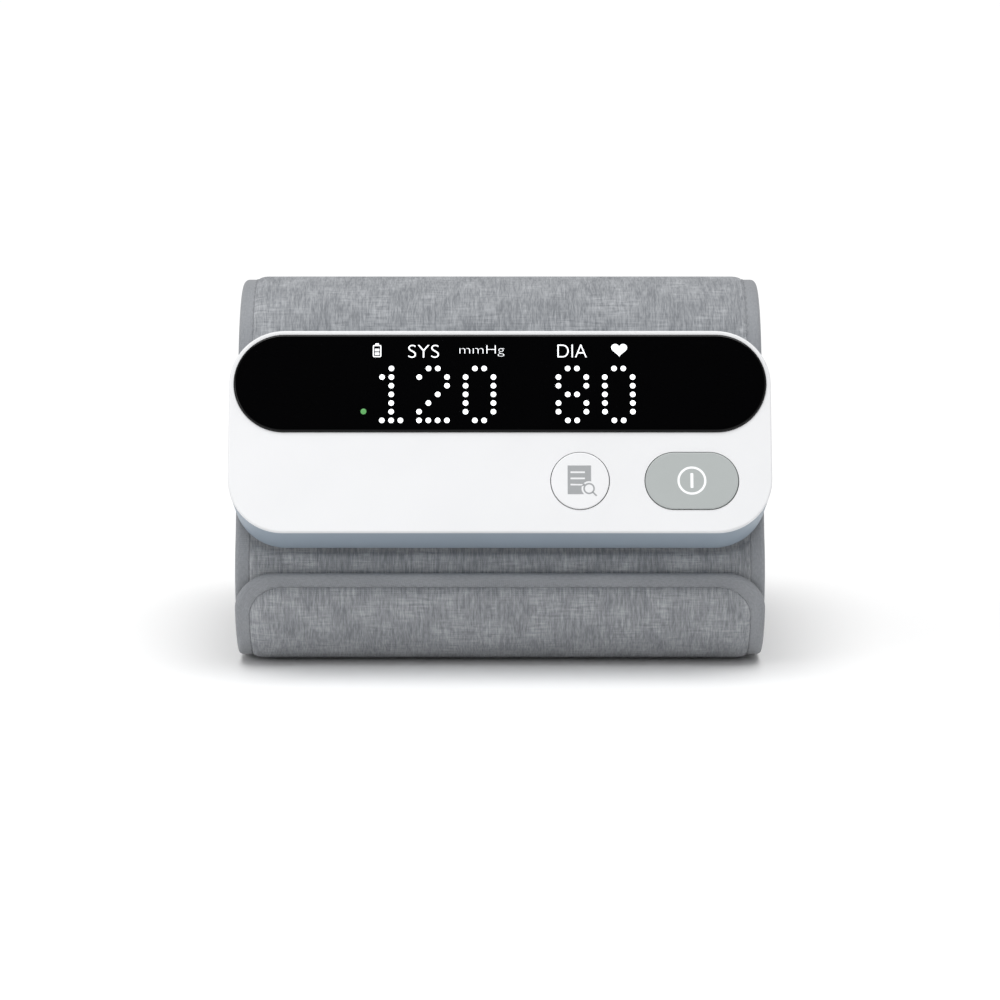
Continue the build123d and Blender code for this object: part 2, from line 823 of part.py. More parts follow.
with BuildPart() as nipple_seal:
    with BuildSketch(across(manifold_x, pump_y, floor_level + seal_section / 2)):
        with Locations((nipple_diameter / 2 + seal_section / 2, 0)):
            Circle(seal_section / 2 - slip_gap)
    revolve(
        axis=Axis(monitor.from_local_coords((manifold_x, pump_y, 0)), monitor.z_dir), revolution_arc=360
    )
save(nipple_seal.part, "nipple_seal")

# Pressure sensor on the back of the board, with a washer between it and the manifold
with BuildPart() as pressure_sensor:
    with BuildSketch(level(board_rear)):
        with Locations((manifold_x, pump_y)):
            Rectangle(sensor_size, sensor_size)
    extrude(amount=-sensor_height)
    with BuildSketch(level(board_rear - sensor_height)):
        with Locations((manifold_x, pump_y)):
            Circle(sensor_port / 2)
            Circle(sensor_port / 4, mode=Mode.SUBTRACT)
    extrude(amount=manifold_top - board_rear + sensor_height - barb_diameter / 2)
save(pressure_sensor.part, "pressure_sensor")

with BuildPart() as sensor_washer:
    with BuildSketch(level(manifold_top)):
        with Locations((manifold_x, pump_y)):
            Circle(sensor_size / 2)
            Circle(sensor_port / 2 + slip_gap, mode=Mode.SUBTRACT)
    extrude(amount=board_rear - sensor_height - manifold_top)
save(sensor_washer.part, "sensor_washer")

# Release valve: the solenoid's body with its port, and the plunger inside
with BuildPart() as release_valve:
    with BuildSketch(across(valve_left, pump_y, -air_depth)):
        RectangleRounded(valve_width, valve_height, barb_diameter / 3)
    extrude(amount=valve_length)
    with BuildSketch(across(valve_left - barb_length, pump_y, -air_depth)):
        Circle(barb_diameter / 2)
    extrude(amount=barb_length)
    with BuildSketch(across(valve_left - barb_length, pump_y, -air_depth)):
        Circle(air_bore / 2)
    extrude(amount=valve_length / 2, mode=Mode.SUBTRACT)
    with BuildSketch(across(valve_left + wall, pump_y, -air_depth)):
        Circle(valve_plunger_diameter / 2 + shaft_gap)
    extrude(amount=valve_plunger_length + 2 * valve_travel, mode=Mode.SUBTRACT)
save(release_valve.part, "release_valve")

with BuildPart() as valve_plunger:
    with BuildSketch(across(valve_left + wall + fit_gap, pump_y, -air_depth)):
        Circle(valve_plunger_diameter / 2)
    extrude(amount=valve_plunger_length)
save(valve_plunger.part, "valve_plunger")


def lead(name, route):
    """A round lead along straight runs and tangent arcs, and the plug that it ends in on the board."""
    with BuildPart() as wire:
        with BuildLine(monitor) as path:
            FilletPolyline(*route, radius=lead_bend)
        with BuildSketch(Plane(path.line @ 0, z_dir=path.line % 0)):
            Circle(lead_diameter / 2)
        sweep()
    save(wire.part, name)


battery_end_x = battery_x + battery_width / 2
battery_middle = floor_level + pad_thickness + battery_thickness / 2
plug_rear = board_rear - plug_height
plug_level = board_rear - plug_height / 2
battery_plug_x = battery_end_x + lead_run
motor_back_x = motor_end_x - motor_length
motor_lead_y = pump_y + motor_diameter / 4
pump_plug_x = motor_back_x + plug_size / 2
pump_plug_y = pump_plug_rise + plug_size / 2
valve_plug_x = valve_x + valve_length / 2 - plug_size / 2
valve_plug_y = pump_y + valve_width / 2 + lead_run
lead(
    "battery_lead",
    [
        (battery_end_x, display_y, battery_middle),
        (battery_plug_x, display_y, battery_middle),
        (battery_plug_x, display_y, plug_rear),
    ],
)
lead(
    "pump_lead",
    [
        (motor_back_x, motor_lead_y, -motor_depth),
        (motor_back_x - lead_run, motor_lead_y, -motor_depth),
        (motor_back_x - lead_run, pump_plug_y, plug_level),
        (motor_back_x, pump_plug_y, plug_level),
    ],
)
lead(
    "valve_lead",
    [
        (valve_plug_x, pump_y + valve_width / 2, -air_depth),
        (valve_plug_x, valve_plug_y, -air_depth),
        (valve_plug_x, valve_plug_y, plug_rear),
    ],
)
with BuildPart() as lead_plugs:
    with BuildSketch(level(board_rear)):
        with Locations(
            (battery_plug_x, display_y), (pump_plug_x, pump_plug_y), (valve_plug_x, valve_plug_y)
        ):
            Rectangle(plug_size, plug_size)
    extrude(amount=-plug_height)
save(lead_plugs.part, "lead_plugs")


def hose(start_x, end_x):
    with BuildPart() as tube:
        with BuildSketch(across(start_x, pump_y, -air_depth)):
            Circle(hose_diameter / 2)
            Circle(barb_diameter / 2 + slip_gap, mode=Mode.SUBTRACT)
        extrude(amount=end_x - start_x)
    return tube.part


save(hose(head_end_x + fit_gap, manifold_left - fit_gap), "pump_hose")
save(hose(manifold_right + fit_gap, valve_left - fit_gap), "valve_hose")

# Cuff nipple: welded on the bladder, through the fabric and the tray floor into the manifold
with BuildPart() as air_nipple:
    with BuildSketch(level(bracket_inner)):
        with Locations((manifold_x, pump_y)):
            Circle(nipple_flange / 2)
    extrude(amount=stiffener)
    with BuildSketch(level(bracket_inner)):
        with Locations((manifold_x, pump_y)):
            Circle(nipple_diameter / 2)
    extrude(amount=socket_depth - fit_gap - bracket_inner)
    with BuildSketch(level(bracket_inner)):
        with Locations((manifold_x, pump_y)):
            Circle(nipple_bore / 2)
    extrude(amount=socket_depth - bracket_inner, mode=Mode.SUBTRACT)
save(air_nipple.part, "air_nipple")

# Carrier plate inside the cuff, which the monitor's rear tray is screwed to
with BuildPart() as cuff_bracket:
    with BuildSketch(level(bracket_inner)):
        RectangleRounded(bracket_width, bracket_height, band_width)
        with Locations(bracket_screw_spots):
            Circle(bracket_screw / 2 + slip_gap, mode=Mode.SUBTRACT)
        with Locations((manifold_x, pump_y)):
            Circle(nipple_flange / 2 + fit_gap, mode=Mode.SUBTRACT)
    extrude(amount=stiffener)
save(cuff_bracket.part, "cuff_bracket")

# Outer fabric: the padded panel between the edge bands, with the holes behind the monitor
with BuildPart() as cuff_outer_fabric:
    section = layer_section(outer_wrap, (0, 0), (fabric, fabric))
    extrude(section, amount=panel_half, both=True)
    with BuildSketch(level(-monitor_depth)):
        with Locations(bracket_screw_spots):
            Circle(bracket_screw / 2 + fit_gap)
        with Locations((manifold_x, pump_y)):
            Circle(nipple_diameter / 2 + fit_gap)
    extrude(amount=-2 * fabric, mode=Mode.SUBTRACT)
save(cuff_outer_fabric.part, "cuff_outer_fabric")

# Loop field under the flap, where its hooks take hold
with BuildPart() as loop_patch:
    section = layer_section(loop_wrap, (0, 0), (fabric, fabric))
    extrude(section, amount=panel_half, both=True)
save(loop_patch.part, "loop_patch")

# Springy plastic sheet that keeps the loop round, with a window for the carrier plate
with BuildPart() as cuff_stiffener:
    section = layer_section(whole_wrap, (fabric, fabric), (fabric + stiffener, fabric + stiffener))
    extrude(section, amount=panel_half - stiffener_inset, both=True)
    with BuildSketch(level(-monitor_depth - fabric)):
        RectangleRounded(bracket_width + 2 * fit_gap, bracket_height + 2 * fit_gap, band_width)
    extrude(amount=-2 * stiffener, both=True, mode=Mode.SUBTRACT)
save(cuff_stiffener.part, "cuff_stiffener")

# Air bladder, with the hole that the nipple blows through
bladder_top = fabric + stiffener
with BuildPart() as air_bladder:
    section = layer_section(bladder_wrap, (bladder_top,) * 2, (bladder_top + bladder,) * 2)
    extrude(section, amount=panel_half - bladder_inset, both=True)
    with BuildSketch(level(bracket_inner)):
        with Locations((manifold_x, pump_y)):
            Circle(nipple_bore / 2)
    extrude(amount=-bladder / 2, mode=Mode.SUBTRACT)
save(air_bladder.part, "air_bladder")

# Lining against the arm
with BuildPart() as cuff_lining:
    section = layer_section(whole_wrap, (thin - lining, thick - lining), (thin, thick))
    extrude(section, amount=panel_half, both=True)
save(cuff_lining.part, "cuff_lining")

# Sewn edges of the fabric and the lining, which the tapes are folded round
with BuildPart() as sewn_edges:
    for side in (-1, 1):
        section = layer_section(
            whole_wrap, (band_drop + tape,) * 2, (thin - tape, thick - tape), side * panel_half
        )
        extrude(section, amount=side * (band_width - edge_fold))
save(sewn_edges.part, "sewn_edges")


def edge_binding(side):
    """The tape folded round one edge of the cuff: an outer leg, an inner leg and the fold."""
    with BuildPart() as binding:
        outer_leg = layer_section(
            whole_wrap, (band_drop,) * 2, (band_drop + tape,) * 2, side * panel_half
        )
        extrude(outer_leg, amount=side * (band_width - edge_fold))
        inner_leg = layer_section(
            whole_wrap, (thin - tape, thick - tape), (thin, thick), side * panel_half
        )
        extrude(inner_leg, amount=side * (band_width - edge_fold))
        fold = layer_section(
            whole_wrap, (band_drop, band_drop), (thin, thick), side * (cuff_width / 2 - edge_fold)
        )
        extrude(fold, amount=side * edge_fold)
    return binding.part


save(edge_binding(-1), "left_binding")
save(edge_binding(1), "right_binding")

# Tape over the strip's inner end, inside the loop
with BuildPart() as inner_end_binding:
    with BuildSketch(Plane.YZ):
        with Locations((tail_y, tail_height + band_drop)):
            Rectangle(edge_fold, thin - band_drop, align=Align.MIN)
    extrude(amount=cuff_width / 2, both=True)
save(inner_end_binding.part, "inner_end_binding")


def flap_outline(inset=0.0):
    """The flap's front view: straight sides, rounded corners at the tip, down past the hinge."""
    tip_height = on_bend(bend_centre, flap_bend_radius, 180 - flap_tip_angle).Y
    with BuildSketch(Plane.XZ.offset(base_length)) as outline:
        with Locations((0, tip_height - inset)):
            RectangleRounded(
                cuff_width - 2 * inset, 2 * flap_bend_radius, flap_corner - inset / 2,
                align=(Align.CENTER, Align.MAX),
            )
    return outline.sketch


# Flap: the padded panel, the tape band round it, and the hook field on its inner face
with BuildPart() as flap_panel:
    section = layer_section(["flap"], (0, 0), (flap_thickness - hook_thickness,) * 2)
    extrude(section, amount=panel_half, both=True)
    extrude(flap_outline(band_width), amount=-base_length, both=True, mode=Mode.INTERSECT)
save(flap_panel.part, "flap_panel")

with BuildPart() as flap_binding:
    section = layer_section(["flap"], (band_drop, band_drop), (flap_thickness, flap_thickness))
    extrude(section, amount=cuff_width / 2, both=True)
    extrude(flap_outline(), amount=-base_length, both=True, mode=Mode.INTERSECT)
    extrude(flap_outline(band_width), amount=-base_length, both=True, mode=Mode.SUBTRACT)
save(flap_binding.part, "flap_binding")

with BuildPart() as hook_patch:
    section = layer_section(["flap"], (flap_thickness - hook_thickness,) * 2, (flap_thickness,) * 2)
    extrude(section, amount=panel_half, both=True)
    extrude(flap_outline(band_width), amount=-base_length, both=True, mode=Mode.INTERSECT)
save(hook_patch.part, "hook_patch")
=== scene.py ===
from math import cos, pi, radians, sin

import bmesh
import bpy
import numpy as np
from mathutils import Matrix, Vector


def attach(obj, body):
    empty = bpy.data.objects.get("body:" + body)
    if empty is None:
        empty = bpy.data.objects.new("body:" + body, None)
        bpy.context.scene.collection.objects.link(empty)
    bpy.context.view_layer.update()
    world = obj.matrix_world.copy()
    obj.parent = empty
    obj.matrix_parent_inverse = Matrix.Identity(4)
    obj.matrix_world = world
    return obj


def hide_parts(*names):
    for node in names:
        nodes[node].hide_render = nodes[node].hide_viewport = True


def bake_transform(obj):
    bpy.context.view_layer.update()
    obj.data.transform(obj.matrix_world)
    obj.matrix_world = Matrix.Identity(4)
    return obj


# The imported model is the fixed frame: X to the right, -Y to the viewer, Z up, in metres.
# Sizes below are in millimetres and become metres where a mesh is written.
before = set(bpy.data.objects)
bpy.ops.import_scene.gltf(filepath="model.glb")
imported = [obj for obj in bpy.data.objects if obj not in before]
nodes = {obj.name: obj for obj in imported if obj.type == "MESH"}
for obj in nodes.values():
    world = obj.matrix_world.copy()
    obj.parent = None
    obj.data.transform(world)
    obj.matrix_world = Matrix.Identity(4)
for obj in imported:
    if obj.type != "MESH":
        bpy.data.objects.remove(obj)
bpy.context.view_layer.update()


# Front cover: a white ABS moulding with a fine satin grain, the largest face of the monitor.
# It holds the display lens in a shallow pocket and snaps into the tray behind it.
class Finish:
    """A material being made: its node tree, with short ways to add and join nodes."""

    def __init__(self, name, colour, roughness, metallic=0.0, specular=0.5):
        self.material = bpy.data.materials.new(name)
        self.material.use_nodes = True
        self.tree = self.material.node_tree
        self.shader = self.tree.nodes["Principled BSDF"]
        self.shader.inputs["Base Color"].default_value = colour
        self.shader.inputs["Roughness"].default_value = roughness
        self.shader.inputs["Metallic"].default_value = metallic
        self.shader.inputs["Specular IOR Level"].default_value = specular

    def node(self, kind, **settings):
        made = self.tree.nodes.new(kind)
        for name, value in settings.items():
            setattr(made, name, value)
        return made

    def join(self, output, target):
        self.tree.links.new(output, target)

    def coordinates(self, kind, scale):
        """Object or UV coordinates stretched by a scale for each axis, in repeats per metre."""
        place = self.node("ShaderNodeTexCoord")
        stretch = self.node("ShaderNodeMapping")
        stretch.inputs["Scale"].default_value = scale
        self.join(place.outputs[kind], stretch.inputs["Vector"])
        return stretch.outputs["Vector"]

    def cloudy(self, kind, scale, detail=2.0):
        """Noise from 0 to 1 on those coordinates."""
        noise = self.node("ShaderNodeTexNoise")
        noise.inputs["Scale"].default_value = 1.0
        noise.inputs["Detail"].default_value = detail
        self.join(self.coordinates(kind, scale), noise.inputs["Vector"])
        return noise.outputs["Fac"]

    def spread(self, value, low, high, to_low, to_high):
        """The value between low and high, carried to the range from to_low to to_high."""
        carry = self.node("ShaderNodeMapRange")
        for name, number in zip(
            ("From Min", "From Max", "To Min", "To Max"), (low, high, to_low, to_high)
        ):
            carry.inputs[name].default_value = number
        self.join(value, carry.inputs["Value"])
        return carry.outputs["Result"]

    def sum(self, operation, first, second):
        """Two values, or a value and a number, put together by a math node."""
        maths = self.node("ShaderNodeMath", operation=operation)
        for socket, value in zip(maths.inputs, (first, second)):
            if isinstance(value, (int, float)):
                socket.default_value = value
            else:
                self.join(value, socket)
        return maths.outputs["Value"]

    def colours(self, value, dark, light):
        """The base colour goes from dark to light with the value."""
        mix = self.node("ShaderNodeMix", data_type="RGBA")
        mix.inputs["A"].default_value = dark
        mix.inputs["B"].default_value = light
        self.join(value, mix.inputs["Factor"])
        self.join(mix.outputs["Result"], self.shader.inputs["Base Color"])

    def relief(self, height, depth, strength=1.0):
        """Bump of that depth in millimetres, from a height between 0 and 1."""
        bump = self.node("ShaderNodeBump")
        bump.inputs["Distance"].default_value = depth / 1000
        bump.inputs["Strength"].default_value = strength
        self.join(height, bump.inputs["Height"])
        self.join(bump.outputs["Normal"], self.shader.inputs["Normal"])

    def rough(self, value, low, high):
        self.join(self.spread(value, 0.3, 0.7, low, high), self.shader.inputs["Roughness"])


def shaded(colour, share):
    """The same colour with a share of its light."""
    return (*(value * share for value in colour[:3]), 1.0)


def moulded_plastic(name, colour, roughness, grain=0.22, depth=0.006, specular=0.5):
    """Spark-eroded satin grain as fine bump, with slow patches in colour and roughness."""
    finish = Finish(name, colour, roughness, specular=specular)
    patches = finish.cloudy("Object", (60, 60, 60), 3)
    finish.colours(finish.spread(patches, 0.3, 0.7, 0, 1), shaded(colour, 0.985), colour)
    finish.rough(patches, roughness * 0.93, roughness * 1.07)
    finish.relief(finish.cloudy("Object", (1000 / grain,) * 3, 2), depth)
    return finish.material


def dress(node, material):
    """A CAD node takes this material in each of its slots."""
    piece = nodes[node]
    if not piece.material_slots:
        piece.data.materials.append(None)
    for place in piece.material_slots:
        place.material = material


cover_white = moulded_plastic("cover_white", (0.735, 0.74, 0.752, 1), 0.42)
dress("front_housing", cover_white)

# Rear tray: the same moulding in blue-grey, a little coarser, pulled from its mould with a slight
# draft. It is screwed to the cover from inside and to the carrier plate in the cuff.
tray_grey = moulded_plastic("tray_grey", (0.26, 0.312, 0.368, 1), 0.5, grain=0.3, depth=0.01)
dress("rear_housing", tray_grey)

# Display lens: one smoked, polished acrylic stadium with a rolled edge, held by a film of clear
# adhesive in the cover's pocket. The lights below show through it only where they are lit.
lens_black = Finish("lens_black", (0.0012, 0.0012, 0.0014, 1), 0.05, specular=0.22)
lens_black.rough(lens_black.cloudy("Object", (25, 25, 25), 2), 0.04, 0.07)
lens_black.relief(lens_black.cloudy("Object", (9, 9, 9), 1), 0.02)
dress("display_lens", lens_black.material)
adhesive_clear = Finish("adhesive_clear", (0.05, 0.05, 0.052, 1), 0.3)
adhesive_clear.relief(adhesive_clear.cloudy("Object", (400, 400, 400), 2), 0.01)
dress("lens_adhesive", adhesive_clear.material)

# The monitor leans back on the cuff. Its front face is a plane whose middle follows from the
# bend under the flap, the inner layer on that bend, and the tray's depth.
lean_angle = 22.66
bend_centre = np.array([-25.0, 24.9])
flap_bend_radius = 24.9
flap_thickness = 3.0
layer_gap = 0.3
monitor_depth = 21.95
monitor_width = 146.3
monitor_height = 55.9
seat_offset = 0.59
inner_bend_radius = flap_bend_radius - flap_thickness - layer_gap
face_out = np.array([-cos(radians(lean_angle)), sin(radians(lean_angle))])
face_up = np.array([sin(radians(lean_angle)), cos(radians(lean_angle))])
seat_start = bend_centre + inner_bend_radius * face_out
face_middle = seat_start + monitor_depth * face_out + (seat_offset + monitor_height / 2) * face_up


def on_face(x, y, height):
    """The place x right of the face's middle, y up it and this height out of it, in metres."""
    x, y, height = np.broadcast_arrays(
        np.asarray(x, float), np.asarray(y, float), np.asarray(height, float)
    )
    there = face_middle + y[..., None] * face_up + height[..., None] * face_out
    return np.concatenate([x[..., None], there], axis=-1) / 1000


# Lit dots: round diffusers in a grid of 28 by 7 behind the lens, one emitter each. The lit ones
# make the two readings; they are thin discs with a low crown, just through the lens's face.
dot_pitch_x = 2.505
dot_pitch_y = 2.41
first_dot = (-31.83, 17.14)
dot_diameter = 1.5
lens_top = 0.7
light_sunk = 0.03
light_crown = 0.03
figures = {
    "0": (".##.", "#..#", "#..#", "#..#", "#..#", "#..#", ".##."),
    "1": (".#..", "##..", ".#..", ".#..", ".#..", ".#..", "###."),
    "2": (".##.", "#..#", "...#", "..#.", ".#..", "#...", "####"),
    "8": (".##.", "#..#", "#..#", ".##.", "#..#", "#..#", ".##."),
}
shown = (("1", 0), ("2", 4), ("0", 9), ("8", 19), ("0", 24))


def glow(name, colour, strength):
    """A lit diffuser: it gives off its own light, a little less where its paint is thick."""
    finish = Finish(name, colour, 0.4)
    finish.colours(finish.cloudy("Object", (3000, 3000, 3000), 2), shaded(colour, 0.9), colour)
    finish.shader.inputs["Emission Color"].default_value = colour
    finish.shader.inputs["Emission Strength"].default_value = strength
    return finish.material


def ring_faces(count, rings, points):
    """The faces of closed pieces, each made of rings of points: quads between neighbouring rings,
    and one face that fills the first ring and one that fills the last."""
    index = np.arange(rings * points).reshape(rings, points)
    turned = np.roll(index, -1, axis=1)
    quads = np.stack([index[:-1], turned[:-1], turned[1:], index[1:]], axis=-1).reshape(-1, 4)
    starts = np.arange(count) * rings * points
    sides = (quads + starts[:, None, None]).reshape(-1, 4)
    first, last = index[0][::-1] + starts[:, None], index[-1] + starts[:, None]
    return sides.tolist() + first.tolist() + last.tolist()


def ring_mesh(name, grids):
    """A mesh from grids of places, counted by piece, ring and point."""
    mesh = bpy.data.meshes.new(name)
    mesh.from_pydata(grids.reshape(-1, 3), [], ring_faces(*grids.shape[:3]))
    return mesh


def light_discs(name, centres, diameter, material):
    """Discs on the lens: each is rings of points round its centre, radius falling to nothing while
    the height rises from below the lens's face to the crown by the square of the radius."""
    around = np.linspace(0, 2 * pi, 20, endpoint=False)
    share = np.array([1.0, 1.0, 0.8, 0.5, 0.001])
    height = lens_top + light_crown * (1 - share**2)
    height[0] = lens_top - light_sunk
    x = centres[:, None, None, 0] + diameter / 2 * share[:, None] * np.cos(around)
    y = centres[:, None, None, 1] + diameter / 2 * share[:, None] * np.sin(around)
    return finished(name, ring_mesh(name, on_face(x, y, height[:, None])), material)


def finished(name, mesh, material):
    """The mesh as a piece: faces outwards, smooth, with its material."""
    shape = bmesh.new()
    shape.from_mesh(mesh)
    bmesh.ops.recalc_face_normals(shape, faces=shape.faces)
    shape.to_mesh(mesh)
    shape.free()
    mesh.polygons.foreach_set("use_smooth", np.ones(len(mesh.polygons), bool))
    mesh.materials.append(material)
    piece = bpy.data.objects.new(name, mesh)
    bpy.context.scene.collection.objects.link(piece)
    return piece


lit_spots = np.array(
    [
        (first_dot[0] + dot_pitch_x * (start + column), first_dot[1] - dot_pitch_y * row)
        for figure, start in shown
        for row, line in enumerate(figures[figure])
        for column, mark in enumerate(line)
        if mark == "#"
    ]
)
dot_white = glow("dot_white", (0.92, 0.94, 0.96, 1), 0.95)
lit_dots = light_discs("lit_dots", lit_spots, dot_diameter, dot_white)
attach(lit_dots, "monitor")
status_spot = (-36.78, 5.15)
status_diameter = 1.6
status_green = glow("status_green", (0.06, 0.22, 0.06, 1), 0.7)
status_dot = light_discs("status_dot", np.array([status_spot]), status_diameter, status_green)
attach(status_dot, "monitor")

# Words and signs over the figures: masks of the same diffuser, lit from behind, for the upper and
# lower pressure, the unit and the pulse, and a battery sign at the left.
sign_thickness = 0.05
sign_level = lens_top + sign_thickness / 4
label_white = glow("label_white", (0.78, 0.8, 0.82, 1), 0.78)


def flat_sign(name, loops, height, material):
    """Closed outlines in the face's plane, filled as an even-odd shape (an outline inside another
    is a hole) and given a small thickness out of the face."""
    curve = bpy.data.curves.new(name, "CURVE")
    curve.dimensions = "2D"
    curve.fill_mode = "BOTH"
    curve.extrude = 0.5
    for loop in loops:
        spline = curve.splines.new("POLY")
        spline.points.add(len(loop) - 1)
        flat = np.zeros((len(loop), 4))
        flat[:, :2] = loop
        flat[:, 3] = 1
        spline.points.foreach_set("co", flat.ravel())
        spline.use_cyclic_u = True
    return on_face_mesh(name, curve, lambda flat: flat, height, material)


def on_face_mesh(name, curve, fit, height, material):
    """The filled curve as a mesh, its flat outline put through fit, then laid on the face."""
    drawn = bpy.data.objects.new(name + "_curve", curve)
    bpy.context.scene.collection.objects.link(drawn)
    mesh = bpy.data.meshes.new_from_object(
        drawn.evaluated_get(bpy.context.evaluated_depsgraph_get())
    )
    bpy.data.objects.remove(drawn)
    flat = np.zeros(len(mesh.vertices) * 3)
    mesh.vertices.foreach_get("co", flat)
    flat = flat.reshape(-1, 3)
    outline = fit(flat[:, :2])
    level = height + sign_thickness * np.sign(flat[:, 2]) / 2
    mesh.vertices.foreach_set("co", on_face(outline[:, 0], outline[:, 1], level).ravel())
    shape = bmesh.new()
    shape.from_mesh(mesh)
    bmesh.ops.remove_doubles(shape, verts=shape.verts, dist=1e-6)
    shape.to_mesh(mesh)
    shape.free()
    mesh.materials.clear()
    piece = finished(name, mesh, material)
    mesh.polygons.foreach_set("use_smooth", np.zeros(len(mesh.polygons), bool))
    return piece


def word(name, letters, centre, size, weight):
    """Letters in the plain built-in face, their box brought to that centre and size."""
    curve = bpy.data.curves.new(name, "FONT")
    curve.body = letters
    curve.extrude = 0.5
    curve.offset = weight

    def fit(flat):
        low, high = flat.min(axis=0), flat.max(axis=0)
        return (flat - (low + high) / 2) / (high - low) * size + centre

    piece = on_face_mesh(name, curve, fit, sign_level, label_white)
    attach(piece, "monitor")


def ring(centre, radius, points=48):
    """A circle as points: centre plus radius times cosine and sine."""
    turn = np.linspace(0, 2 * pi, points, endpoint=False)
    return np.stack([centre[0] + radius * np.cos(turn), centre[1] + radius * np.sin(turn)], axis=-1)


def rounded(centre, size, radius, points=6):
    """A rectangle with round corners: each corner's centre plus a quarter circle about it."""
    turn = np.linspace(0, pi / 2, points) + np.arange(4)[:, None] * pi / 2
    corner = np.array([(1, 1), (-1, 1), (-1, -1), (1, -1)]) * (np.array(size) / 2 - radius)
    circle = np.stack([np.cos(turn), np.sin(turn)], axis=-1)
    return (np.array(centre) + corner[:, None] + radius * circle).reshape(-1, 2)


word("upper_label", "SYS", centre=(-20.67, 21.94), size=(8.33, 3.6), weight=-0.014)
word("unit_label", "mmHg", centre=(-4.89, 22.05), size=(12.1, 3.1), weight=-0.022)
word("lower_label", "DIA", centre=(19.49, 22.04), size=(7.92, 3.6), weight=-0.014)

heart_centre = (32.22, 22.18)
heart_size = (4.33, 3.64)
turn = np.linspace(0, 2 * pi, 60, endpoint=False)
heart_outline = np.stack(
    [
        16 * np.sin(turn) ** 3,
        13 * np.cos(turn) - 5 * np.cos(2 * turn) - 2 * np.cos(3 * turn) - np.cos(4 * turn),
    ],
    axis=-1,
)
heart_middle = (heart_outline.max(axis=0) + heart_outline.min(axis=0)) / 2
heart_outline = (heart_outline - heart_middle) / np.ptp(heart_outline, axis=0) * heart_size
pulse_sign = flat_sign("pulse_sign", [heart_outline + heart_centre], sign_level, label_white)
battery_centre = np.array((-33.23, 22.0))
battery_size = np.array((2.3, 3.4))
battery_corner = 0.4
battery_line = 0.3
inner_corner = 0.15
charge_size = (1.2, 0.7)
charge_rows = (-0.75, 0.3)
terminal_size = (1.0, 0.4)
terminal_rise = 1.95
block_corner = 0.1
battery_sign = flat_sign(
    "battery_sign",
    [
        rounded(battery_centre, battery_size, battery_corner),
        rounded(battery_centre, battery_size - 2 * battery_line, inner_corner),
        *(rounded(battery_centre + (0, row), charge_size, block_corner) for row in charge_rows),
        rounded(battery_centre + (0, terminal_rise), terminal_size, block_corner),
    ],
    sign_level,
    label_white,
)
for sign in (pulse_sign, battery_sign):
    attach(sign, "monitor")

# Push buttons: a round white one that recalls readings and a wide grey one for power, each a thin
# moulded cap with its sign printed on it in one colour. They ride on the switches' plungers.
button_top = 0.4
power_centre = np.array((51.5, -13.9))
dress("memory_button", moulded_plastic("memory_white", (0.75, 0.755, 0.767, 1), 0.36))
dress("power_button", moulded_plastic("power_grey", (0.385, 0.41, 0.405, 1), 0.4))


def printed_ink(name, colour):
    """Screen-printed ink: a thin film with its own slight sheen and an uneven edge of the mesh."""
    finish = Finish(name, colour, 0.45)
    cover = finish.cloudy("Object", (2500, 2500, 2500), 3)
    finish.colours(cover, shaded(colour, 0.94), colour)
    finish.relief(cover, 0.006)
    return finish.material


grey_ink = printed_ink("grey_ink", (0.33, 0.34, 0.35, 1))
white_ink = printed_ink("white_ink", (0.9, 0.91, 0.92, 1))
sheet_size = np.array((6.3, 7.9))
sheet_centre = np.array((21.3, -13.7))
sheet_corner = sheet_centre + sheet_size * (0.5, -0.5)
glass_centre = np.array((23.9, -16.1))
glass_radius = 1.55
glass_line = 0.42
clear_radius = 2.05
line_size = (3.9, 0.5)
line_shift = -0.45
line_rows = (2.1, 0.4, -1.3)
line_corner = 0.12


def page_outline():
    """The sheet's outline with a bite for the glass: three corners, then the arc of the clear
    circle from where it crosses the bottom edge back to where it crosses the right edge."""
    low_gap = sheet_corner[1] - glass_centre[1]
    right_gap = sheet_corner[0] - glass_centre[0]
    bottom = pi + np.arcsin(min(1, -low_gap / clear_radius))
    top = np.arccos(right_gap / clear_radius)
    arc = np.linspace(bottom, top, 24)
    bite = np.stack([np.cos(arc), np.sin(arc)], axis=-1) * clear_radius + glass_centre
    left, low = sheet_centre - sheet_size / 2
    high = low + sheet_size[1]
    corners = np.array([(sheet_corner[0], high), (left, high), (left, low)])
    return np.concatenate([corners, bite])


page_lines = [
    rounded(sheet_centre + (line_shift, row), line_size, line_corner) for row in line_rows
]
page_sign = flat_sign("page_sign", [page_outline(), *page_lines], button_top, grey_ink)
handle_length = 1.5
down_right = np.array((0.7071, -0.7071))
up_right = np.array((0.7071, 0.7071))
handle_start = glass_centre + (glass_radius - glass_line / 2) * down_right
handle_side = glass_line / 2 * up_right
handle_reach = handle_length * down_right
handle = np.array(
    [
        handle_start + handle_side,
        handle_start - handle_side,
        handle_start - handle_side + handle_reach,
        handle_start + handle_side + handle_reach,
    ]
)
glass_sign = flat_sign(
    "glass_sign",
    [ring(glass_centre, glass_radius), ring(glass_centre, glass_radius - glass_line)],
    button_top,
    grey_ink,
)
handle_sign = flat_sign("handle_sign", [handle], button_top, grey_ink)
for sign in (page_sign, glass_sign, handle_sign):
    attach(sign, "memory_button")

power_ring = 3.9
power_line = 0.62
power_bar = (0.8, 4.1)
bar_corner = 0.2
power_sign = flat_sign(
    "power_sign",
    [
        ring(power_centre, power_ring, 64),
        ring(power_centre, power_ring - power_line, 64),
        rounded(power_centre, power_bar, bar_corner),
    ],
    button_top,
    white_ink,
)
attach(power_sign, "power_button")

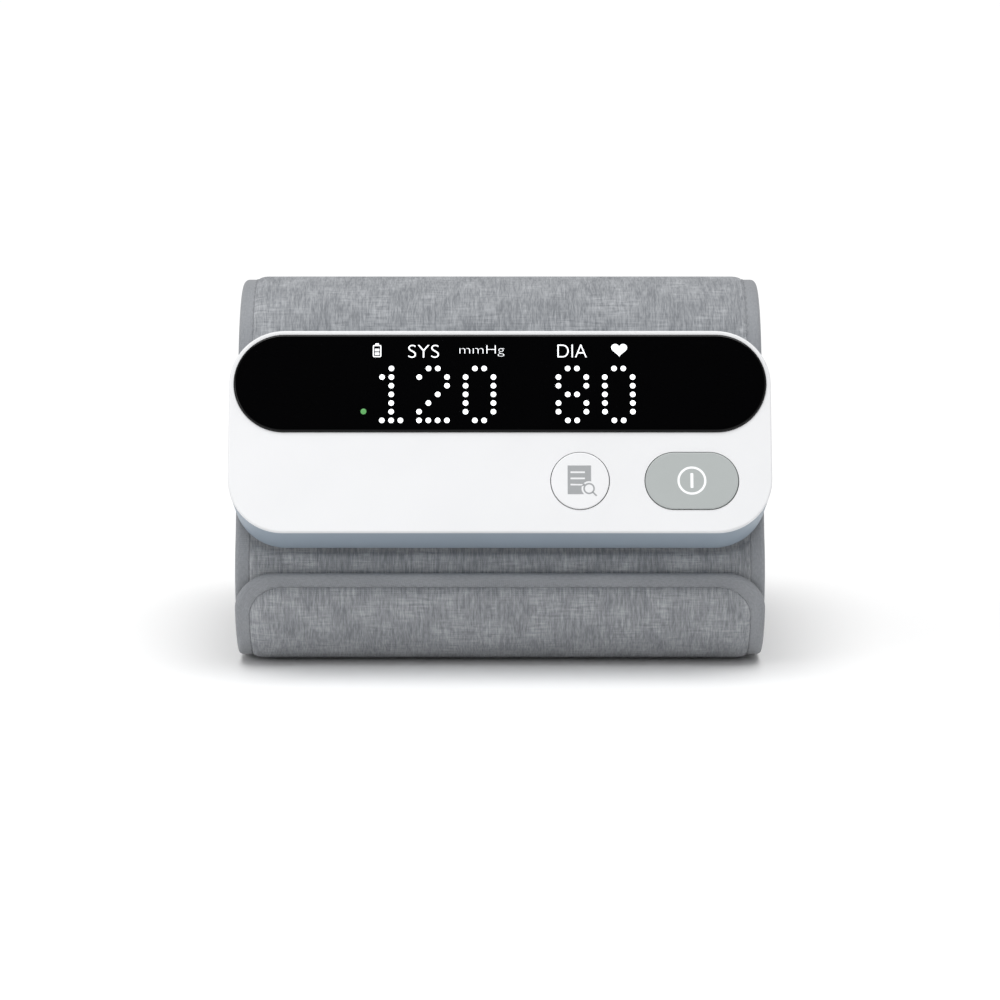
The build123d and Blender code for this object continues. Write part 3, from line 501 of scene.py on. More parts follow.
# Circuit boards: green solder resist over copper traces, with the chips, switches, header and
# lead plugs soldered to them. They hang on the cover's bosses and are only seen in section.
board_green = Finish("board_green", (0.02, 0.14, 0.06, 1), 0.35)
traces = board_green.node("ShaderNodeTexVoronoi", feature="DISTANCE_TO_EDGE", distance="MANHATTAN")
traces.inputs["Scale"].default_value = 1.0
board_green.join(board_green.coordinates("Object", (320, 320, 320)), traces.inputs["Vector"])
copper = board_green.spread(traces.outputs["Distance"], 0.02, 0.06, 1, 0)
board_green.colours(copper, (0.016, 0.11, 0.05, 1), (0.05, 0.26, 0.11, 1))
board_green.relief(copper, 0.035)
for node in ("main_board", "display_board"):
    dress(node, board_green.material)
black_moulding = moulded_plastic("black_moulding", (0.02, 0.02, 0.022, 1), 0.45, grain=0.15)
for node in (
    "display_header",
    "board_chips",
    "power_switch",
    "memory_switch",
    "power_plunger",
    "memory_plunger",
    "pressure_sensor",
    "socket_tongue",
):
    dress(node, black_moulding)
dress("lead_plugs", moulded_plastic("plug_nylon", (0.75, 0.73, 0.66, 1), 0.5))
dress("led_array", moulded_plastic("diffuser_white", (0.8, 0.82, 0.85, 1), 0.5, grain=0.1))
dress("label_lights", moulded_plastic("mask_white", (0.75, 0.78, 0.8, 1), 0.5, grain=0.1))
dress("status_led", moulded_plastic("diffuser_green", (0.1, 0.6, 0.25, 1), 0.4, grain=0.1))


# Screws, socket and motor can: plated, stamped or drawn steel, brushed along or turned round.
# The screws hold the boards, the two housing halves, and the tray on the cuff's carrier plate.
def worked_metal(name, colour, roughness, scale):
    """Fine tool marks: noise stretched by the scale, in bump and in roughness."""
    finish = Finish(name, colour, roughness, metallic=1.0)
    marks = finish.cloudy("Object", scale, 3)
    finish.rough(marks, roughness * 0.7, roughness * 1.3)
    finish.colours(marks, shaded(colour, 0.9), colour)
    finish.relief(marks, 0.004)
    return finish.material


zinc_plate = worked_metal("zinc_plate", (0.6, 0.61, 0.63, 1), 0.3, (900, 900, 6000))
for node in ("board_screws", "housing_screws", "bracket_screws"):
    dress(node, zinc_plate)
stamped_steel = worked_metal("stamped_steel", (0.66, 0.67, 0.69, 1), 0.25, (300, 3000, 3000))
for node in ("charging_socket", "pump_motor", "pump_crank", "valve_plunger"):
    dress(node, stamped_steel)

# Battery: a flat pouch cell in laminated foil, held down by a strip of foam tape, with a red lead.
# The pump's and the valve's leads are the same insulated wire, each pressed into its plug.
foil = Finish("pouch_foil", (0.72, 0.73, 0.75, 1), 0.32, metallic=1.0)
foil_creases = foil.cloudy("Object", (180, 180, 180), 5)
foil.rough(foil_creases, 0.25, 0.4)
foil.relief(foil_creases, 0.12)
dress("battery", foil.material)


def soft_rubber(name, colour, roughness, grain, depth):
    """Moulded or foamed rubber: matt, with open cells or a fine skin as bump."""
    finish = Finish(name, colour, roughness, specular=0.35)
    cells = finish.cloudy("Object", (1000 / grain,) * 3, 3)
    finish.colours(cells, shaded(colour, 0.8), colour)
    finish.relief(cells, depth)
    return finish.material


dress("battery_pad", soft_rubber("foam_tape", (0.05, 0.05, 0.055, 1), 0.9, 0.3, 0.08))
lead_red = soft_rubber("lead_red", (0.42, 0.02, 0.02, 1), 0.5, 0.5, 0.01)
for node in ("battery_lead", "pump_lead", "valve_lead"):
    dress(node, lead_red)

# Air path: a small motor in a rubber sleeve drives the diaphragm head, and silicone hoses lead
# from it through the manifold to the valve, the sensor and the nipple welded to the bladder.
sleeve_black = soft_rubber("sleeve_black", (0.02, 0.02, 0.022, 1), 0.7, 0.2, 0.02)
for node in ("pump_mount", "nipple_seal", "sensor_washer"):
    dress(node, sleeve_black)
for node in ("pump_head", "release_valve"):
    dress(node, black_moulding)
air_white = moulded_plastic("air_white", (0.7, 0.71, 0.7, 1), 0.45)
for node in ("air_manifold", "air_nipple", "cuff_bracket"):
    dress(node, air_white)
hose_silicone = soft_rubber("hose_silicone", (0.6, 0.61, 0.62, 1), 0.45, 0.4, 0.01)
for node in ("pump_hose", "valve_hose"):
    dress(node, hose_silicone)

# Cuff core: a springy polypropylene sheet that keeps the loop round, and the air bladder of
# welded film, both between the outer fabric and the lining.
spring_sheet = moulded_plastic("spring_sheet", (0.6, 0.6, 0.58, 1), 0.4, grain=0.6, depth=0.02)
dress("cuff_stiffener", spring_sheet)
dress("air_bladder", soft_rubber("bladder_film", (0.3, 0.32, 0.35, 1), 0.4, 1.2, 0.05))

# The cuff's path: one strip in a spiral, seen in the YZ plane from its inner end, forward along
# the floor, up behind the monitor, over the top, down the back, along the floor and up again as
# the flap. Arcs and straight runs meet without a corner; the strip is thicker where it holds air.
thin = 3.0
thick = 4.6
seat_length = 56.0
ramp_length = 6.0
top_bend_radius = 29.4
base_half = 25.0
tail_y = 1.8
hinge_angle = -43.5
flap_tip_angle = 7.05
path_step = 0.25
seat_end = seat_start + seat_length * face_up
ramp_end = seat_start + ramp_length * face_up
top_centre = seat_end - top_bend_radius * face_out
crest = top_centre[1] + top_bend_radius
back_radius = (crest + base_half - top_centre[0]) / 2
back_centre = np.array([top_centre[0], crest - back_radius])
heel_radius = crest - back_radius
heel_centre = np.array([base_half, heel_radius])
tail_height = flap_thickness + layer_gap
zones = [
    ("tail", "run", (tail_y, tail_height), (-base_half, tail_height), (0, 1), thin, thin),
    ("under", "bend", bend_centre, inner_bend_radius, 270, 180 - lean_angle, thin),
    ("ramp in", "run", seat_start, ramp_end, -face_out, thin, thick),
    ("seat", "run", ramp_end, seat_end, -face_out, thick, thick),
    ("top", "bend", top_centre, top_bend_radius, 180 - lean_angle, 90, thick),
    ("back", "bend", back_centre, back_radius, 90, 0, thick),
    ("heel", "bend", heel_centre, heel_radius, 0, -90, thick),
    ("ramp out", "run", (base_half, 0), (base_half - ramp_length, 0), (0, 1), thick, thin),
    ("floor", "run", (base_half - ramp_length, 0), (-base_half, 0), (0, 1), thin, thin),
    ("toe", "bend", bend_centre, flap_bend_radius, 270, 180 - hinge_angle, thin),
    ("flap", "bend", bend_centre, flap_bend_radius, 180 - hinge_angle, 180 - flap_tip_angle, thin),
]
stations = []
begins = {}
for name, kind, *sizes in zones:
    if kind == "run":
        first, last, inward, thick_first, thick_last = sizes
        length = np.hypot(*np.subtract(last, first))
        share = np.linspace(0, 1, int(length / path_step) + 2)
        place = np.outer(1 - share, first) + np.outer(share, last)
        into = np.tile(inward, (len(share), 1))
        swell = thick_first + (thick_last - thick_first) * share**2 * (3 - 2 * share)
    else:
        centre, radius, first, last, swell = sizes
        length = radius * radians(abs(last - first))
        share = np.linspace(0, 1, int(length / path_step) + 2)
        angle = np.radians(first + (last - first) * share)
        into = -np.stack([np.cos(angle), np.sin(angle)], axis=-1)
        place = centre - radius * into
        swell = np.full(len(share), swell)
    begins[name] = stations[-1][-1, 0] if stations else 0.0
    along = begins[name] + length * share
    stations.append(np.column_stack([along, place, into, swell]))
path = np.concatenate(stations)
path_end = path[-1, 0]
hinge_along = begins["flap"]


def on_strip(x, along, depth, swelling=0.0):
    """The place x across the cuff and this far along its path, in metres. Depth is measured into
    the strip from its outer face; swelling is the share of the strip's thickness added to it."""
    x, along, depth, swelling = np.broadcast_arrays(
        np.asarray(x, float), np.asarray(along, float), np.asarray(depth, float),
        np.asarray(swelling, float),
    )
    y, z, into_y, into_z, swell = (np.interp(along, path[:, 0], path[:, k]) for k in range(1, 6))
    depth = depth + swelling * swell
    return np.stack([x, y + depth * into_y, np.maximum(z + depth * into_z, 0)], axis=-1) / 1000


def skin(name, grid, along, across, material):
    """A closed piece from a grid of places: rows follow the path, columns go round the profile and
    meet, and the first and last rows are filled. The places along and across in the cloth, in
    millimetres, become the piece's UV map in metres."""
    mesh = ring_mesh(name, grid[None])
    corners = np.zeros(len(mesh.loops), np.int32)
    mesh.loops.foreach_get("vertex_index", corners)
    pattern = np.stack(np.broadcast_arrays(along, across), axis=-1)
    chart = mesh.uv_layers.new(name="along_across")
    chart.data.foreach_set("uv", (pattern.reshape(-1, 2)[corners] / 1000).ravel())
    return finished(name, mesh, material)


# Outer fabric: a grey mélange knit over thin foam, sewn down along its edges so that its face
# stands a millimetre proud of the edge tape and rolls over into the seam.
panel_half = 68.5
seam_drop = 1.05
shoulder_width = 3.2
fabric = 1.2
pucker_depth = 0.07
pucker_reach = 3.5
pucker_start = 1.2
course_pitch = 0.5
wale_pitch = 0.42


def melange_knit(name, light, dark, contrast=1.0):
    """Yarns dyed in two greys: long fine streaks along the strip, shorter ones across it that come
    and go in patches, and slow clouds. The relief is the stitch grid plus the streaks."""
    finish = Finish(name, light, 0.88, specular=0.25)
    finish.shader.inputs["Sheen Weight"].default_value = 0.25
    finish.shader.inputs["Sheen Roughness"].default_value = 0.6
    finish.shader.inputs["Sheen Tint"].default_value = (0.8, 0.82, 0.86, 1)
    long_streaks = finish.spread(finish.cloudy("UV", (140, 1150, 1), 3), 0.33, 0.67, 0, 1)
    fine_streaks = finish.spread(finish.cloudy("UV", (420, 2700, 1), 2), 0.3, 0.7, 0, 1)
    cross_streaks = finish.spread(finish.cloudy("UV", (1500, 170, 1), 3), 0.35, 0.65, 0, 1)
    cross_patches = finish.spread(finish.cloudy("UV", (110, 130, 1), 2), 0.4, 0.62, 0, 1)
    clouds = finish.spread(finish.cloudy("UV", (70, 160, 1), 3), 0.3, 0.7, 0, 1)
    crossing = finish.sum("MULTIPLY", cross_streaks, cross_patches)
    weights = ((long_streaks, 0.27), (fine_streaks, 0.35), (crossing, 0.3), (clouds, 0.08))
    parts = [finish.sum("MULTIPLY", value, weight) for value, weight in weights]
    blend = finish.sum(
        "ADD", finish.sum("ADD", parts[0], parts[1]), finish.sum("ADD", parts[2], parts[3])
    )
    span = 0.5 / contrast
    finish.colours(finish.spread(blend, 0.5 - span, 0.5 + span, 0, 1), dark, light)
    grid = finish.node("ShaderNodeSeparateXYZ")
    turns = (2000 * pi / course_pitch, 2000 * pi / wale_pitch, 1)
    finish.join(finish.coordinates("UV", turns), grid.inputs[0])
    courses = finish.sum("MULTIPLY", finish.sum("SINE", grid.outputs["X"], 0), 0.25)
    wales = finish.sum("MULTIPLY", finish.sum("SINE", grid.outputs["Y"], 0), 0.25)
    stitch_grid = finish.sum("ADD", courses, wales)
    finish.relief(finish.sum("ADD", stitch_grid, finish.sum("ADD", parts[1], parts[0])), 0.09)
    return finish.material


def shoulder(distance):
    """How far the padded face drops near its seam: a quarter ellipse over the shoulder's width."""
    left = np.clip(1 - distance / shoulder_width, 0, 1)
    return seam_drop * (1 - np.sqrt(1 - left**2))


def pucker(distance, along):
    """Soft pulls of the seam: a wave along it that dies away over a few millimetres."""
    wave = np.sin(along * 0.95 + 1.4 * np.sin(along * 0.19))
    fade = np.exp(-distance / pucker_reach) * np.clip(distance / pucker_start, 0, 1)
    return pucker_depth * wave * fade


tray_corner = 14.8
pinch_depth = 1.0
pinch_width = 2.6
pinch_middle = -1.5
pinch_inside = 16
pinch_outside = 4
pinch_columns = 0.8
pinch_rows = 0.4
past_shoulder = 4.0
tray_middle = begins["ramp in"] + seat_offset + monitor_height / 2


def pinch(x, along):
    """The groove that the tray's edge presses into the padding: a flat-topped bell over the
    distance from the tray's outline, a rectangle with round corners laid on the strip."""
    past_x = np.abs(x) - (monitor_width / 2 - tray_corner)
    past_y = np.abs(along - tray_middle) - (monitor_height / 2 - tray_corner)
    outside = np.hypot(np.maximum(past_x, 0), np.maximum(past_y, 0))
    distance = outside + np.minimum(np.maximum(past_x, past_y), 0) - tray_corner
    return pinch_depth * np.exp(-(((distance - pinch_middle) / pinch_width) ** 4))


from_seam = np.concatenate(
    [
        shoulder_width * (1 - np.cos(np.linspace(0, pi / 2, 10))),
        np.arange(past_shoulder, tray_corner, pinch_columns),
        np.linspace(pinch_inside, panel_half, 13),
    ]
)
past_edge = np.arange(-pinch_inside, pinch_outside, pinch_rows)
near_tray = np.concatenate(
    [tray_middle + end * monitor_height / 2 + end * past_edge for end in (-1, 1)]
)
to_middle = panel_half - from_seam
panel_across = np.concatenate([-to_middle, to_middle[-2::-1]])
panel_distance = panel_half - np.abs(panel_across)


def sewn_panel(name, start, end, material):
    """A panel between two places on the path: its outer face drops at both seams, its inner face
    lies one fabric thickness in. The profile is the outer face and back along the inner one, with
    closer rows where the tray's edge presses in."""
    fine = near_tray[(near_tray > start) & (near_tray < end)]
    even = np.linspace(start, end, int(end - start) + 2)
    along = np.unique(np.concatenate([even, fine]))[:, None]
    outer = shoulder(panel_distance) + pucker(panel_distance, along) + pinch(panel_across, along)
    outer = np.minimum(outer, fabric - 0.1)
    depth = np.concatenate([outer, np.full((len(along), len(panel_across)), fabric)], axis=1)
    x = np.concatenate([panel_across, panel_across[::-1]])[None, :]
    return skin(name, on_strip(x, along, depth), along, x, material)


melange_grey = melange_knit("melange_grey", (0.415, 0.427, 0.445, 1), (0.18, 0.189, 0.203, 1), 1.6)
front_start_angle = 80
front_start = begins["under"] + inner_bend_radius * radians(front_start_angle)
outer_panel = sewn_panel("outer_fabric", front_start, begins["toe"], melange_grey)
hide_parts("cuff_outer_fabric")
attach(outer_panel, "monitor")

# Loop field: loop pile, knitted and brushed up, sewn on the inner end of the strip between the
# tapes. The flap's hooks hold on to it.
tape_width = 4.0
pile = Finish("loop_pile", (0.14, 0.145, 0.155, 1), 0.95, specular=0.15)
pile.shader.inputs["Sheen Weight"].default_value = 0.5
pile_loops = pile.cloudy("UV", (2800, 2800, 1), 3)
pile.colours(pile_loops, (0.08, 0.083, 0.09, 1), (0.2, 0.207, 0.22, 1))
pile.relief(pile_loops, 0.25)
loop_field = sewn_panel("loop_field", tape_width, front_start, pile.material)
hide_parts("loop_patch")
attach(loop_field, "monitor")

# Lining: smooth warp-knit against the arm, dark so that it doesn't show marks, sewn in with the
# outer fabric so that it rolls a little into the seam.
lining_drop = 0.35
lining_thickness = 1.0
lining_rows = 1.5
tricot = Finish("lining_tricot", (0.16, 0.167, 0.178, 1), 0.8, specular=0.3)
tricot.shader.inputs["Sheen Weight"].default_value = 0.2
wale = tricot.node("ShaderNodeTexWave", bands_direction="Y")
wale.inputs["Scale"].default_value = 1.0
wale.inputs["Distortion"].default_value = 0.4
tricot.join(tricot.coordinates("UV", (90, 420, 1)), wale.inputs["Vector"])
tricot.colours(wale.outputs["Fac"], (0.125, 0.13, 0.14, 1), (0.19, 0.197, 0.21, 1))
tricot.relief(wale.outputs["Fac"], 0.06)


def lining_panel(name, start, end):
    """The lining between two places on the path: its hidden face lies one lining thickness short
    of the strip's inner side, and its visible face on that side, drawn in at both seams."""
    along = np.linspace(start, end, int((end - start) / lining_rows) + 2)[:, None]
    drawn_in = shoulder(panel_distance) / seam_drop * lining_drop + pucker(panel_distance, along)
    depth = np.concatenate(
        [np.full((len(along), len(panel_across)), -lining_thickness), -drawn_in[:, ::-1]], axis=1
    )
    x = np.concatenate([panel_across, panel_across[::-1]])[None, :]
    return skin(name, on_strip(x, along, depth, 1.0), along, x, tricot.material)


lining = lining_panel("lining", tape_width, hinge_along)
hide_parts("cuff_lining")
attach(lining, "monitor")
dress("sewn_edges", tricot.material)

# Edge tape: a plain woven tape folded round both edges of the strip and sewn through, a shade
# darker and smoother than the knit. Its profile is a flat fold with a rounded outer edge.
cuff_half = 72.5
band_drop = 0.9
fold_width = 1.5
fold_power = 0.85
under_panel = 4.2
tuck_depth = 1.3
flat_reaches = [3.6, 2.5]
tuck_start = 3.95
tape_rows = 1.2


def woven_tape(name, light, dark):
    """Grosgrain: fine ribs across the tape, faint threads along it, and slow clouds."""
    finish = Finish(name, light, 0.85, specular=0.25)
    finish.shader.inputs["Sheen Weight"].default_value = 0.2
    ribs = finish.node("ShaderNodeTexWave", bands_direction="X")
    ribs.inputs["Scale"].default_value = 1.0
    ribs.inputs["Distortion"].default_value = 0.6
    ribs.inputs["Detail Scale"].default_value = 4.0
    finish.join(finish.coordinates("UV", (560, 90, 1)), ribs.inputs["Vector"])
    threads = finish.cloudy("UV", (900, 2600, 1), 3)
    clouds = finish.cloudy("UV", (60, 200, 1), 2)
    thread_share = finish.sum("MULTIPLY", threads, 0.6)
    shade = finish.sum("ADD", thread_share, finish.sum("MULTIPLY", clouds, 0.4))
    finish.colours(finish.spread(shade, 0.3, 0.7, 0, 1), dark, light)
    height = finish.sum("MULTIPLY", ribs.outputs["Fac"], 0.5)
    finish.relief(finish.sum("ADD", height, finish.sum("MULTIPLY", threads, 0.5)), 0.05)
    return finish.material


fold = np.linspace(pi / 2, -pi / 2, 15)
fold_side = np.sign(np.sin(fold)) * np.abs(np.sin(fold)) ** fold_power
fold_reach = fold_width * (1 - np.cos(fold) ** fold_power)
tape_reach = np.concatenate(
    [[under_panel, tuck_start], flat_reaches, fold_reach, flat_reaches[::-1], [under_panel]]
)
tape_side = np.concatenate([[1, 1, 1, 1], fold_side, [-1, -1, -1]])
tape_depth = band_drop / 2 * (1 + tape_side)
tape_depth[0] = tuck_depth
tape_swell = (1 - tape_side) / 2
tape_steps = np.hypot(np.diff(tape_reach), 2 * np.diff(tape_side))
tape_round = np.concatenate([[0], np.cumsum(tape_steps)])


def edge_tape(name, side, start, end, node):
    """The folded tape along one edge: its profile, as reach in from the edge and depth from the
    outer face, carried along the path."""
    along = np.linspace(start, end, int((end - start) / tape_rows) + 2)[:, None]
    grid = on_strip(side * (cuff_half - tape_reach), along, tape_depth, tape_swell)
    piece = skin(name, grid, along, tape_round, tape_grey)
    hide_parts(node)
    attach(piece, "monitor")


tape_grey = woven_tape("tape_grey", (0.295, 0.306, 0.324, 1), (0.212, 0.221, 0.236, 1))
edge_tape("left_edge_tape", -1, 0, begins["toe"], "left_binding")
edge_tape("right_edge_tape", 1, 0, begins["toe"], "right_binding")

# Inner end tape: the same woven tape folded over the strip's inner end and sewn through, between
# the two side tapes. It lies inside the loop, on the floor stretch.
end_across = np.linspace(-cuff_half + tape_width, cuff_half - tape_width, 60)[:, None]
end_grid = on_strip(end_across, tape_reach, tape_depth, tape_swell)
inner_end_tape = skin("inner_end_tape", end_grid, end_across, tape_round, tape_grey)
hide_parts("inner_end_binding")
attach(inner_end_tape, "monitor")

# Flap: the strip's outer end, with round corners, pressed on the layer below. The knit panel,
# its tape and the hooks on its inner face are one piece of fabric from the floor to the tip.
flap_corner = 11.0
flap_panel_corner = 9.0
flap_panel_end = path_end - tape_width
hook_thickness = 0.8
hook_ramp = 4.0
peel_bend = 9.5
tip_row_gap = 0.7
peel_start = on_strip(0, hinge_along, 0)
peel_end = on_strip(0, hinge_along + peel_bend, 0)


def flap_half(along, half, end, corner):
    """Half the flap's width: full up to the corner, then the corner's quarter circle."""
    past = np.clip(along - (end - corner), 0, corner)
    return half - corner + np.sqrt(corner**2 - past**2)


def flap_distance(x, along, half, end, corner):
    """Distance in from a rounded end's outline, counted from its round corners and its sides."""
    across_gap = np.abs(x) - (half - corner)
    along_gap = along - (end - corner)
    outside = np.hypot(np.maximum(across_gap, 0), np.maximum(along_gap, 0))
    return corner - outside - np.minimum(np.maximum(across_gap, along_gap), 0)


def flap_piece(piece, *replaced):
    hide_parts(*replaced)
    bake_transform(piece)


flap_seam = (panel_half, flap_panel_end, flap_panel_corner)
near_tip = flap_panel_end - shoulder_width * (1 - np.cos(np.linspace(pi / 2, 0, 10)))
to_tip = np.linspace(begins["toe"], near_tip[0] - tip_row_gap, 46)
flap_along = np.concatenate([to_tip, near_tip])[:, None]
flap_x = flap_half(flap_along, *flap_seam) * panel_across / panel_half
flap_in = np.maximum(flap_distance(flap_x, flap_along, *flap_seam), 0)
past_hinge = np.clip((flap_along - hinge_along) / hook_ramp, 0, 1)
ease = past_hinge**2 * (3 - 2 * past_hinge)
panel_inner = fabric + (flap_thickness - hook_thickness - fabric) * ease
flap_depth = np.concatenate(
    [shoulder(flap_in) + pucker(flap_in, flap_along), np.tile(panel_inner, (1, len(panel_across)))],
    axis=1,
)
flap_round = np.concatenate([flap_x, flap_x[:, ::-1]], axis=1)
flap_grid = on_strip(flap_round, flap_along, flap_depth)
flap_pad = skin("flap_pad", flap_grid, flap_along, flap_round, melange_grey)
flap_piece(flap_pad, "flap_panel")


def flap_outline(half, end, corner):
    """The flap's edge from the left foot round the tip to the right foot, as x and place along the
    path: a side, a quarter circle, the tip's edge, a quarter circle and a side."""
    rise = np.linspace(begins["toe"], end - corner, 40, endpoint=False)
    bend = np.linspace(pi, pi / 2, 18)
    left_x = np.concatenate([np.full(len(rise), -half), -half + corner + corner * np.cos(bend)])
    left_along = np.concatenate([rise, end - corner + corner * np.sin(bend)])
    tip_x = np.linspace(left_x[-1], -left_x[-1], 60)[1:-1]
    x = np.concatenate([left_x, tip_x, -left_x[::-1]])
    along = np.concatenate([left_along, np.full(len(tip_x), end), left_along[::-1]])
    return np.stack([x, along], axis=-1)


outer_edge = flap_outline(cuff_half, path_end, flap_corner)
seam_edge = flap_outline(*flap_seam)
share = (tape_reach / tape_width)[None, :, None]
tape_spots = outer_edge[:, None] * (1 - share) + seam_edge[:, None] * share
edge_length = np.concatenate([[0], np.cumsum(np.hypot(*np.diff(outer_edge, axis=0).T))])
tape_grid = on_strip(tape_spots[..., 0], tape_spots[..., 1], tape_depth, tape_swell)
flap_tape = skin("flap_tape", tape_grid, edge_length[:, None], tape_round, tape_grey)
flap_piece(flap_tape, "flap_binding")

hooks = Finish("hook_tape", (0.03, 0.03, 0.033, 1), 0.6, specular=0.4)
hook_rows = hooks.node("ShaderNodeTexVoronoi")
hook_rows.inputs["Scale"].default_value = 1.0
hook_rows.inputs["Randomness"].default_value = 0.25
hooks.join(hooks.coordinates("UV", (1300, 1300, 1)), hook_rows.inputs["Vector"])
hook_height = hooks.spread(hook_rows.outputs["Distance"], 0.1, 0.6, 1, 0)
hooks.colours(hook_height, (0.015, 0.015, 0.017, 1), (0.06, 0.06, 0.065, 1))
hooks.relief(hook_height, 0.3)
hook_along = flap_along[flap_along[:, 0] >= hinge_along]
hook_x = flap_half(hook_along, *flap_seam) * panel_across / panel_half
hook_round = np.concatenate([hook_x, hook_x[:, ::-1]], axis=1)
hook_depth = np.repeat([flap_thickness - hook_thickness, flap_thickness], len(panel_across))
hook_grid = on_strip(hook_round, hook_along, hook_depth)
hook_field = skin("hook_field", hook_grid, hook_along, hook_round, hooks.material)
flap_piece(hook_field, "hook_patch")

# Seam stitches: one row of lock stitches in the ditch between the knit and the tape, in thread
# of the tape's grey, along both edges and round the flap.
stitch_length = 2.1
stitch_pitch = 2.8
thread_radius = 0.15
stitch_reach = 3.72
stitch_sunk = 0.02
stitch_dip = 0.22
look_ahead = 0.3
inner_end_margin = 2
toe_margin = 1
flap_foot_margin = 1.5
thread_grey = Finish("thread_grey", (0.27, 0.28, 0.295, 1), 0.7)
thread_grey.relief(thread_grey.cloudy("Object", (5000, 5000, 5000), 2), 0.03)
thread_shade = thread_grey.cloudy("Object", (1200, 1200, 1200), 2)
thread_grey.colours(thread_shade, (0.2, 0.207, 0.22, 1), (0.3, 0.31, 0.325, 1))


def stitches(name, x, along, heading):
    """Thread capsules at these places on the strip. Each is rings round its middle line, which
    lies along the heading (x part, path part) and dips at both ends into the cloth; the radius
    follows a half circle's fourth root, so the ends are round."""
    reach = np.linspace(-1, 1, 7)[None, :, None]
    turn = np.linspace(0, 2 * pi, 8, endpoint=False)[None, None, :]
    radius = thread_radius * np.sqrt(np.clip(1 - reach**4, 0.0004, 1))
    go = stitch_length / 2 * reach
    aside = radius * np.cos(turn)
    go_x, go_along = heading[:, 0, None, None], heading[:, 1, None, None]
    spot_x = x[:, None, None] + go_x * go - go_along * aside
    spot_along = along[:, None, None] + go_along * go + go_x * aside
    depth = band_drop - stitch_sunk + stitch_dip * reach**4 - radius * np.sin(turn)
    mesh = ring_mesh(name, on_strip(spot_x, spot_along, depth))
    piece = finished(name, mesh, thread_grey.material)
    return piece


side_along = np.arange(
    tape_width + inner_end_margin, begins["toe"] - toe_margin, stitch_pitch
)
for name, side in (("left_stitches", -1), ("right_stitches", 1)):
    row = stitches(
        name,
        np.full(len(side_along), side * (cuff_half - stitch_reach)),
        side_along,
        np.tile((0.0, 1.0), (len(side_along), 1)),
    )
    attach(row, "monitor")
seam_share = stitch_reach / tape_width
stitch_edge = outer_edge * (1 - seam_share) + seam_edge * seam_share
stitch_run = np.concatenate([[0], np.cumsum(np.hypot(*np.diff(stitch_edge, axis=0).T))])
stitch_at = np.arange(flap_foot_margin, stitch_run[-1] - toe_margin, stitch_pitch)
stitch_x = np.interp(stitch_at, stitch_run, stitch_edge[:, 0])
stitch_along = np.interp(stitch_at, stitch_run, stitch_edge[:, 1])
ahead = np.stack(
    [
        np.interp(stitch_at + look_ahead, stitch_run, stitch_edge[:, 0]) - stitch_x,
        np.interp(stitch_at + look_ahead, stitch_run, stitch_edge[:, 1]) - stitch_along,
    ],
    axis=-1,
)
flap_stitches = stitches(
    "flap_stitches", stitch_x, stitch_along, ahead / np.linalg.norm(ahead, axis=1, keepdims=True)
)
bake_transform(flap_stitches)

# Studio: a seamless white table in an even white room, which shows pure white behind it, with a
# broad bank of light overhead and a small softbox at the left. A dark flag stands where the lens
# would mirror the room, and only mirrors see it.
floor_half = 6.0
floor_mesh = bpy.data.meshes.new("table_top")
floor_mesh.from_pydata(
    [(-floor_half, -floor_half, 0), (floor_half, -floor_half, 0), (floor_half, floor_half, 0),
     (-floor_half, floor_half, 0)],
    [],
    [(0, 1, 2, 3)],
)
floor_white = Finish("floor_white", (0.93, 0.93, 0.93, 1), 0.7, specular=0.2)
floor_white.rough(floor_white.cloudy("Object", (8, 8, 8), 2), 0.65, 0.75)
floor_mesh.materials.append(floor_white.material)
floor = bpy.data.objects.new("table_top", floor_mesh)
bpy.context.scene.collection.objects.link(floor)

world = bpy.data.worlds.new("white_room")
bpy.context.scene.world = world
world.use_nodes = True
room = world.node_tree
room_light = room.nodes["Background"]
room_light.inputs["Color"].default_value = (1, 1, 1, 1)
room_light.inputs["Strength"].default_value = 0.47
backdrop = room.nodes.new("ShaderNodeBackground")
backdrop.inputs["Color"].default_value = (1, 1, 1, 1)
seen = room.nodes.new("ShaderNodeLightPath")
either = room.nodes.new("ShaderNodeMixShader")
room.links.new(seen.outputs["Is Camera Ray"], either.inputs["Fac"])
room.links.new(room_light.outputs["Background"], either.inputs[1])
room.links.new(backdrop.outputs["Background"], either.inputs[2])
room.links.new(either.outputs["Shader"], room.nodes["World Output"].inputs["Surface"])


def softbox(name, place, aim, width, height, power):
    """A rectangular area light at a place, turned to look at the aim."""
    lamp = bpy.data.lights.new(name, "AREA")
    lamp.shape = "RECTANGLE"
    lamp.size = width
    lamp.size_y = height
    lamp.energy = power
    box = bpy.data.objects.new(name, lamp)
    box.location = place
    box.rotation_euler = (Vector(aim) - Vector(place)).to_track_quat("-Z", "Y").to_euler()
    bpy.context.scene.collection.objects.link(box)


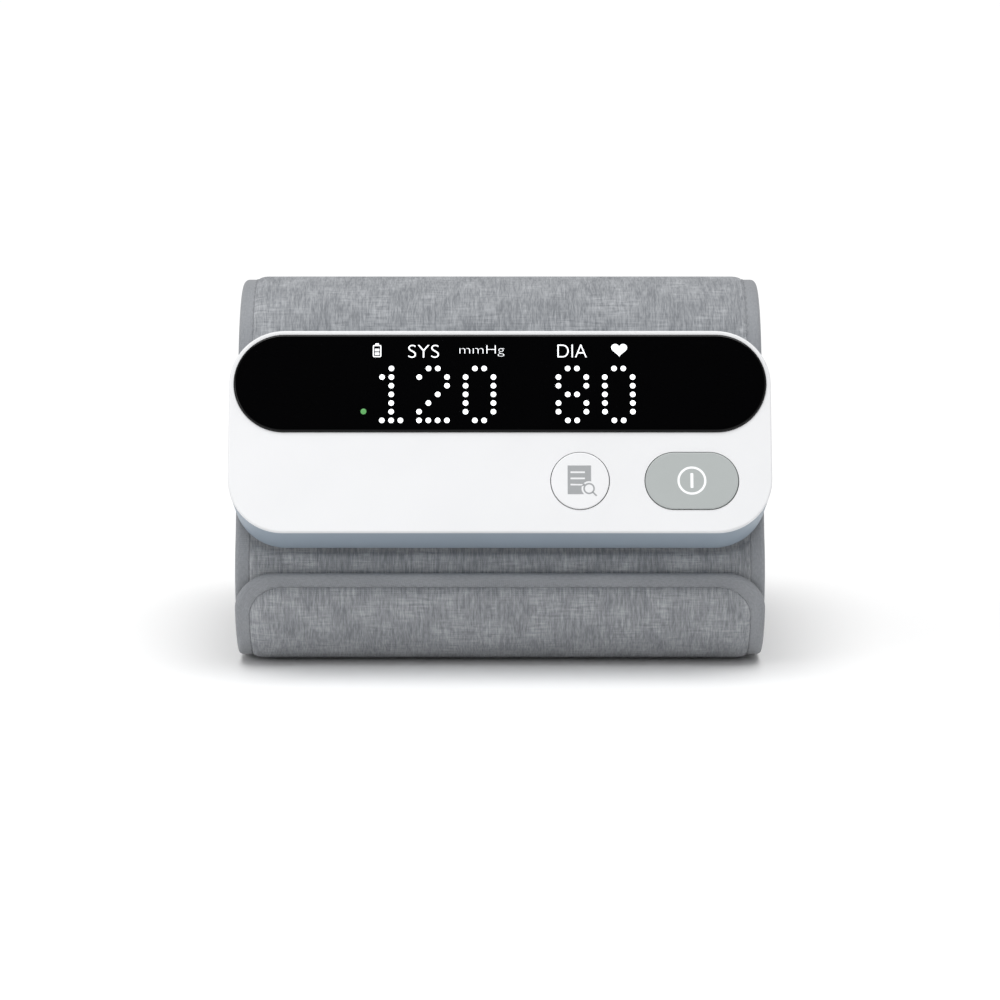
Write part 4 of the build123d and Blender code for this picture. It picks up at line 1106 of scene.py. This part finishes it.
softbox(
    "left_softbox",
    place=(-0.55, -0.5, 0.32),
    aim=(-0.02, -0.05, 0.06),
    width=0.3,
    height=0.3,
    power=0.85,
)
bank_height = 73
bank_spread = 46
bank_light = bpy.data.lights.new("overhead_bank", "SUN")
bank_light.energy = 2.3
bank_light.angle = radians(bank_spread)
bank = bpy.data.objects.new("overhead_bank", bank_light)
bank.rotation_euler = (radians(90 - bank_height), 0, 0)
bpy.context.scene.collection.objects.link(bank)

flag_angle = radians(35.7)
flag_distance = 1.6
flag_width = 1.1
flag_height = 0.6
lens_middle = np.array([0, -0.0537, 0.0727])
flag_middle = lens_middle + flag_distance * np.array([0, -cos(flag_angle), sin(flag_angle)])
flag_up = flag_height / 2 * np.array([0, sin(flag_angle), cos(flag_angle)])
flag_right = np.array([flag_width / 2, 0, 0])
flag_mesh = bpy.data.meshes.new("dark_flag")
flag_mesh.from_pydata(
    [
        flag_middle - flag_right - flag_up,
        flag_middle + flag_right - flag_up,
        flag_middle + flag_right + flag_up,
        flag_middle - flag_right + flag_up,
    ],
    [],
    [(0, 1, 2, 3)],
)
flag_black = Finish("flag_black", (0.001, 0.001, 0.001, 1), 1.0, specular=0.0)
flag_mesh.materials.append(flag_black.material)
flag = bpy.data.objects.new("dark_flag", flag_mesh)
bpy.context.scene.collection.objects.link(flag)
flag.visible_camera = False
flag.visible_diffuse = False
flag.visible_shadow = False
flag.visible_transmission = False

# Camera: a long lens about a metre in front of the object and a little above it, turned slightly
# down, so that the top of the cuff and the flap at the floor both show.
camera_tilt = 9.634
camera_data = bpy.data.cameras.new("studio_camera")
camera_data.sensor_fit = "HORIZONTAL"
camera_data.sensor_width = 36.0
camera_data.lens = 136.58
camera_data.clip_start = 0.05
camera_data.clip_end = 50
camera = bpy.data.objects.new("studio_camera", camera_data)
camera.location = (0, -1.06447, 0.22057)
camera.rotation_euler = (radians(90 - camera_tilt), 0, 0)
bpy.context.scene.collection.objects.link(camera)
bpy.context.scene.camera = camera
bpy.context.scene.view_settings.view_transform = "Standard"
